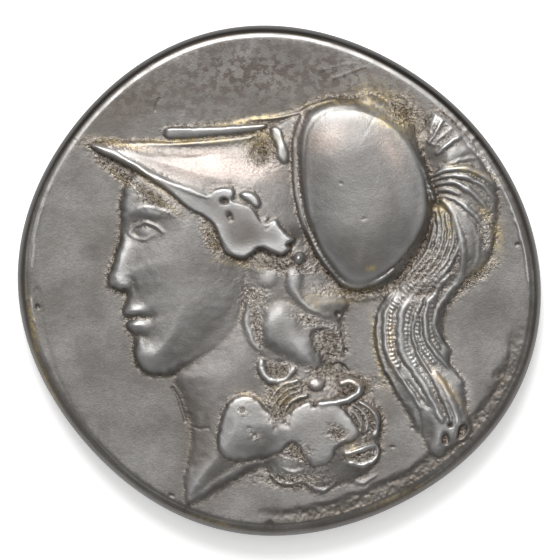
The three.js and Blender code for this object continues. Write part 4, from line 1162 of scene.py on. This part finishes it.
def coin_mesh():
    """Points, triangles and surface shares of the coin, and which triangles are the reverse's."""
    obverse, obverse_triangles, face_masks = obverse_face()
    reverse, reverse_triangles = reverse_face()
    around = 6 * OBVERSE_RINGS
    angle = 2 * math.pi * np.arange(around) / around
    rings = [*shoulder_rings(angle, obverse[-around:, 2]), *side_rings(angle)]
    points = np.vstack([obverse, *rings, reverse])
    triangles = [obverse_triangles, reverse_triangles + len(points) - len(reverse)]
    upper = np.arange(len(obverse) - around, len(obverse))
    for _ in rings:
        triangles.append(band(upper, upper + around))
        upper = upper + around
    triangles.append(halving_band(upper, np.arange(len(points) - around // 2, len(points))))
    triangles = np.vstack(triangles)
    reverse_faces = slice(len(obverse_triangles), len(obverse_triangles) + len(reverse_triangles))
    return points, triangles, coin_masks(face_masks, points, triangles, angle), reverse_faces


def link_new(name, data):
    """A new object in the scene."""
    made = bpy.data.objects.new(name, data)
    bpy.context.scene.collection.objects.link(made)
    return made


def make_coin():
    """The coin's mesh, thinned out evenly."""
    points, triangles, masks, reverse_faces = coin_mesh()
    mesh = bpy.data.meshes.new("struck_coin")
    mesh.from_pydata((points * MM).tolist(), [], triangles.tolist())
    for name, mask in masks.items():
        mesh.attributes.new(name, "FLOAT", "POINT").data.foreach_set("value", mask.astype(np.float32))
    smooth = np.ones(len(mesh.polygons), bool)
    smooth[reverse_faces] = False
    mesh.polygons.foreach_set("use_smooth", smooth)
    coin = link_new("struck_coin", mesh)
    thin = coin.modifiers.new("thin out", "DECIMATE")
    thin.ratio = KEPT_TRIANGLES / len(triangles)
    depsgraph = bpy.context.evaluated_depsgraph_get()
    kept = bpy.data.meshes.new_from_object(coin.evaluated_get(depsgraph))
    coin.modifiers.clear()
    coin.data = kept
    return coin


# The silver

# Colours of the silver, of its toning, and of painted highlights and painted shade
# Worn silver, also the colour of painted highlights
WORN_AND_HIGHLIGHT = (0.47, 0.465, 0.458, 1)
# A painted highlight with a warm peach tint
PEACH_HIGHLIGHT = (0.46, 0.385, 0.345, 1)
BARE = (0.235, 0.228, 0.221, 1)
DULL = (0.15, 0.143, 0.136, 1)
# Golden toning, also a painted highlight along edges that face the light
GOLDEN = (0.5, 0.4, 0.21, 1)
RED = (0.095, 0.077, 0.07, 1)
# Painted glints among the corrosion grit
GLINT = (0.56, 0.5, 0.44, 1)
UMBER = (0.12, 0.1, 0.08, 1)
BROWN = (0.1, 0.075, 0.052, 1)
# Black toning, also the colour of painted shade on the rim and on steep slopes
BLACK = (0.02, 0.018, 0.016, 1)

# Patterns of the toning and of the painted light: noise per metre, detail, roughness, and the noise where
# it starts and is full
CLOUDS = (420, 5, 0.6, 0.38, 0.62)
MOTTLES = (2900, 4, 0.65, 0.48, 0.54)
PATCHES = (5200, 4, 0.6, 0.36, 0.6)
GRIT = (6800, 4, 0.75, 0.44, 0.6)
SPECKLES = (10500, 3, 0.7, 0.42, 0.58)

# Slope at which painted shade starts to darken the silver, and at which it is darkest
STEEP_SLOPES = (0.3, 0.62)

# Bumps of the grain: noise per metre, detail, roughness, then their depth in metres
GRAIN_BUMPS = (9500, 3, 0.6)
GRAIN_DEPTH = 0.0002
FINE_BUMPS = (12500, 3, 0.7)
FINE_DEPTH = 0.00005
FINE_STRENGTH = 0.2

# How rough the metal is, and how much of it is bare where it is steep
FIELD_ROUGHNESS = 0.5
GRIT_ROUGHNESS = 0.38
WORN_ROUGHNESS = 0.42
STEEP_METAL = 0.4


class Graph:
    """A material's nodes, each made by one call."""

    def __init__(self, name):
        self.material = bpy.data.materials.new(name)
        self.material.use_nodes = True
        self.tree = self.material.node_tree
        self.surface = self.tree.nodes["Principled BSDF"]

    def node(self, kind, settings=None, **inputs):
        made = self.tree.nodes.new(kind)
        for name, value in (settings or {}).items():
            setattr(made, name, value)
        for name, value in inputs.items():
            self.join(made.inputs[name.replace("_", " ")], value)
        return made

    def join(self, socket, value):
        if isinstance(value, bpy.types.NodeSocket):
            self.tree.links.new(value, socket)
        else:
            socket.default_value = value

    def mask(self, name):
        return self.node("ShaderNodeAttribute", {"attribute_name": name}).outputs["Fac"]

    def noise(self, scale, detail=2.0, roughness=0.5):
        place = self.node("ShaderNodeTexCoord").outputs["Object"]
        made = self.node(
            "ShaderNodeTexNoise", Vector=place, Scale=scale, Detail=detail, Roughness=roughness
        )
        return made.outputs["Fac"]

    def ramp(self, value, low, high, bottom=0.0, top=1.0):
        made = self.node("ShaderNodeMapRange")
        for socket, number in zip(made.inputs[:5], (value, low, high, bottom, top)):
            self.join(socket, number)
        return made.outputs["Result"]

    def pattern(self, scale, detail, roughness, low, high):
        return self.ramp(self.noise(scale, detail, roughness), low, high)

    def times(self, a, b):
        made = self.node("ShaderNodeMath", {"operation": "MULTIPLY"})
        self.join(made.inputs[0], a)
        self.join(made.inputs[1], b)
        return made.outputs[0]

    def mix(self, share, a, b):
        made = self.node("ShaderNodeMix", {"data_type": "RGBA"})
        self.join(made.inputs[0], share)
        self.join(made.inputs[6], a)
        self.join(made.inputs[7], b)
        return made.outputs[2]

    def mix_number(self, share, a, b):
        made = self.node("ShaderNodeMix")
        self.join(made.inputs[0], share)
        self.join(made.inputs[2], a)
        self.join(made.inputs[3], b)
        return made.outputs[0]


def silver_layers(graph):
    """Layers of toning and painted light from the lowest up: colour, share, and a second share it is
    multiplied by.
    """
    speckle = graph.pattern(*SPECKLES)
    patch = graph.pattern(*PATCHES)
    # Corrosion grit: brown grains mixed with painted glints
    grit_and_glints = graph.mix(graph.pattern(*GRIT), GLINT, BROWN)
    rim = graph.mask("rim")
    steep = graph.mask("steep")
    return (
        (UMBER, speckle, 0.3),
        (UMBER, graph.mask("shade"), 0.5),
        # Worn high points, and painted highlight on the shoulder and on parts turned to the light
        (WORN_AND_HIGHLIGHT, graph.mask("wear_and_highlight"), 0.8),
        # Darker places: toning, and painted shade on parts of the relief
        (UMBER, graph.mask("dark"), 0.7),
        (RED, graph.times(graph.mask("red"), graph.pattern(*MOTTLES)), 0.9),
        # Painted highlight with a peach tint
        (PEACH_HIGHLIGHT, graph.mask("peach_highlight"), graph.ramp(speckle, 0, 1, 1.0, 0.5)),
        (UMBER, graph.mask("ledge"), graph.ramp(patch, 0, 1, 0.25, 0.7)),
        (grit_and_glints, graph.mask("rough"), 0.9),
        (BROWN, graph.ramp(graph.mask("recess"), 0.1, 0.8), graph.ramp(patch, 0, 1, 0.0, 0.9)),
        # Golden toning, and painted highlight along edges that face the light
        (GOLDEN, graph.mask("gold"), patch),
        # The rim: umber toning, then black that is partly toning and partly painted shade, strongest
        # where it is steep
        (UMBER, rim, graph.ramp(patch, 0, 1, 0.7, 1.0)),
        (BLACK, graph.ramp(rim, 0.5, 0.9), 0.92),
        # Painted shade on steep slopes
        (BLACK, graph.ramp(steep, *STEEP_SLOPES), 0.3),
        (BLACK, rim, graph.ramp(steep, 0.12, 0.4, 0.0, 0.85)),
    )


def silver_normal(graph):
    """Fine bumps everywhere, with coarser grain where the silver is corroded."""
    fine_noise, grain_noise = graph.noise(*FINE_BUMPS), graph.noise(*GRAIN_BUMPS)
    fine = graph.node("ShaderNodeBump", Height=fine_noise, Strength=FINE_STRENGTH, Distance=FINE_DEPTH)
    grain = graph.node("ShaderNodeBump", Height=grain_noise, Distance=GRAIN_DEPTH)
    graph.join(grain.inputs["Strength"], graph.ramp(graph.mask("rough"), 0.0, 1.0, 0.02, 1.0))
    graph.join(grain.inputs["Normal"], fine.outputs["Normal"])
    return grain.outputs["Normal"]


def silver_material():
    graph = Graph("silver with toning and painted light")
    colour = graph.mix(graph.pattern(*CLOUDS), DULL, BARE)
    for layer, share, strength in silver_layers(graph):
        colour = graph.mix(graph.times(share, strength), colour, layer)
    steep = graph.ramp(graph.mask("steep"), *STEEP_SLOPES)
    roughness = graph.mix_number(graph.mask("rough"), FIELD_ROUGHNESS, GRIT_ROUGHNESS)
    roughness = graph.mix_number(graph.mask("wear_and_highlight"), roughness, WORN_ROUGHNESS)
    graph.join(graph.surface.inputs["Base Color"], colour)
    graph.join(graph.surface.inputs["Metallic"], graph.ramp(steep, 0, 1, 1.0, STEEP_METAL))
    graph.join(graph.surface.inputs["Roughness"], roughness)
    graph.join(graph.surface.inputs["Normal"], silver_normal(graph))
    return graph.material


def floor_material():
    graph = Graph("pale floor")
    graph.surface.inputs["Base Color"].default_value = (0.93, 0.925, 0.92, 1)
    graph.surface.inputs["Roughness"].default_value = 0.9
    graph.surface.inputs["Emission Color"].default_value = (1, 1, 1, 1)
    graph.surface.inputs["Emission Strength"].default_value = FLOOR_GLOW
    return graph.material


# The scene

FLOOR_SIZE = 0.6
CAMERA_HEIGHT = 0.3
CAMERA_X = 0.03 * MM
CAMERA_Y = 0.026 * MM
LIGHT_DISTANCE = 0.4
# Lights: name, azimuth and elevation in degrees, width in metres, watts
LIGHTS = (("key", 98, 52, 0.22, 1.45), ("overhead", 95, 74, 0.3, 0.4))
SKY_STRENGTH = 0.34
FLOOR_GLOW = 0.37


def add_light(name, azimuth, elevation, size, watts):
    """A round light that looks at the coin from an azimuth and an elevation."""
    light = bpy.data.lights.new(name, "AREA")
    light.shape = "DISK"
    light.size = size
    light.energy = watts
    a, e = math.radians(azimuth), math.radians(elevation)
    holder = link_new(name, light)
    toward = np.array([math.cos(a) * math.cos(e), math.sin(a) * math.cos(e), math.sin(e)])
    holder.location = toward * LIGHT_DISTANCE
    holder.rotation_euler = (math.pi / 2 - e, 0, a + math.pi / 2)


def add_floor():
    mesh = bpy.data.meshes.new("floor")
    half = FLOOR_SIZE / 2
    corners = [(-half, -half, 0), (half, -half, 0), (half, half, 0), (-half, half, 0)]
    mesh.from_pydata(corners, [], [(0, 1, 2, 3)])
    mesh.materials.append(floor_material())
    floor = link_new("floor", mesh)


def add_sky():
    world = bpy.data.worlds.new("studio")
    world.use_nodes = True
    sky = world.node_tree.nodes["Background"]
    sky.inputs["Color"].default_value = (1, 1, 1, 1)
    sky.inputs["Strength"].default_value = SKY_STRENGTH
    bpy.context.scene.world = world


def add_camera():
    """A camera straight over the coin that sees the whole sheet."""
    camera = bpy.data.cameras.new("camera")
    camera.type = "ORTHO"
    camera.ortho_scale = SHEET_SIZE * MM
    camera.clip_start = 0.01
    camera.clip_end = 2.0
    holder = link_new("camera", camera)
    holder.location = (CAMERA_X, CAMERA_Y, CAMERA_HEIGHT)
    bpy.context.scene.camera = holder
    bpy.context.scene.view_settings.view_transform = "Standard"


coin = make_coin()
coin.data.materials.append(silver_material())
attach(coin, "root")
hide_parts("coin")
add_floor()
add_sky()
for light in LIGHTS:
    add_light(*light)
add_camera()
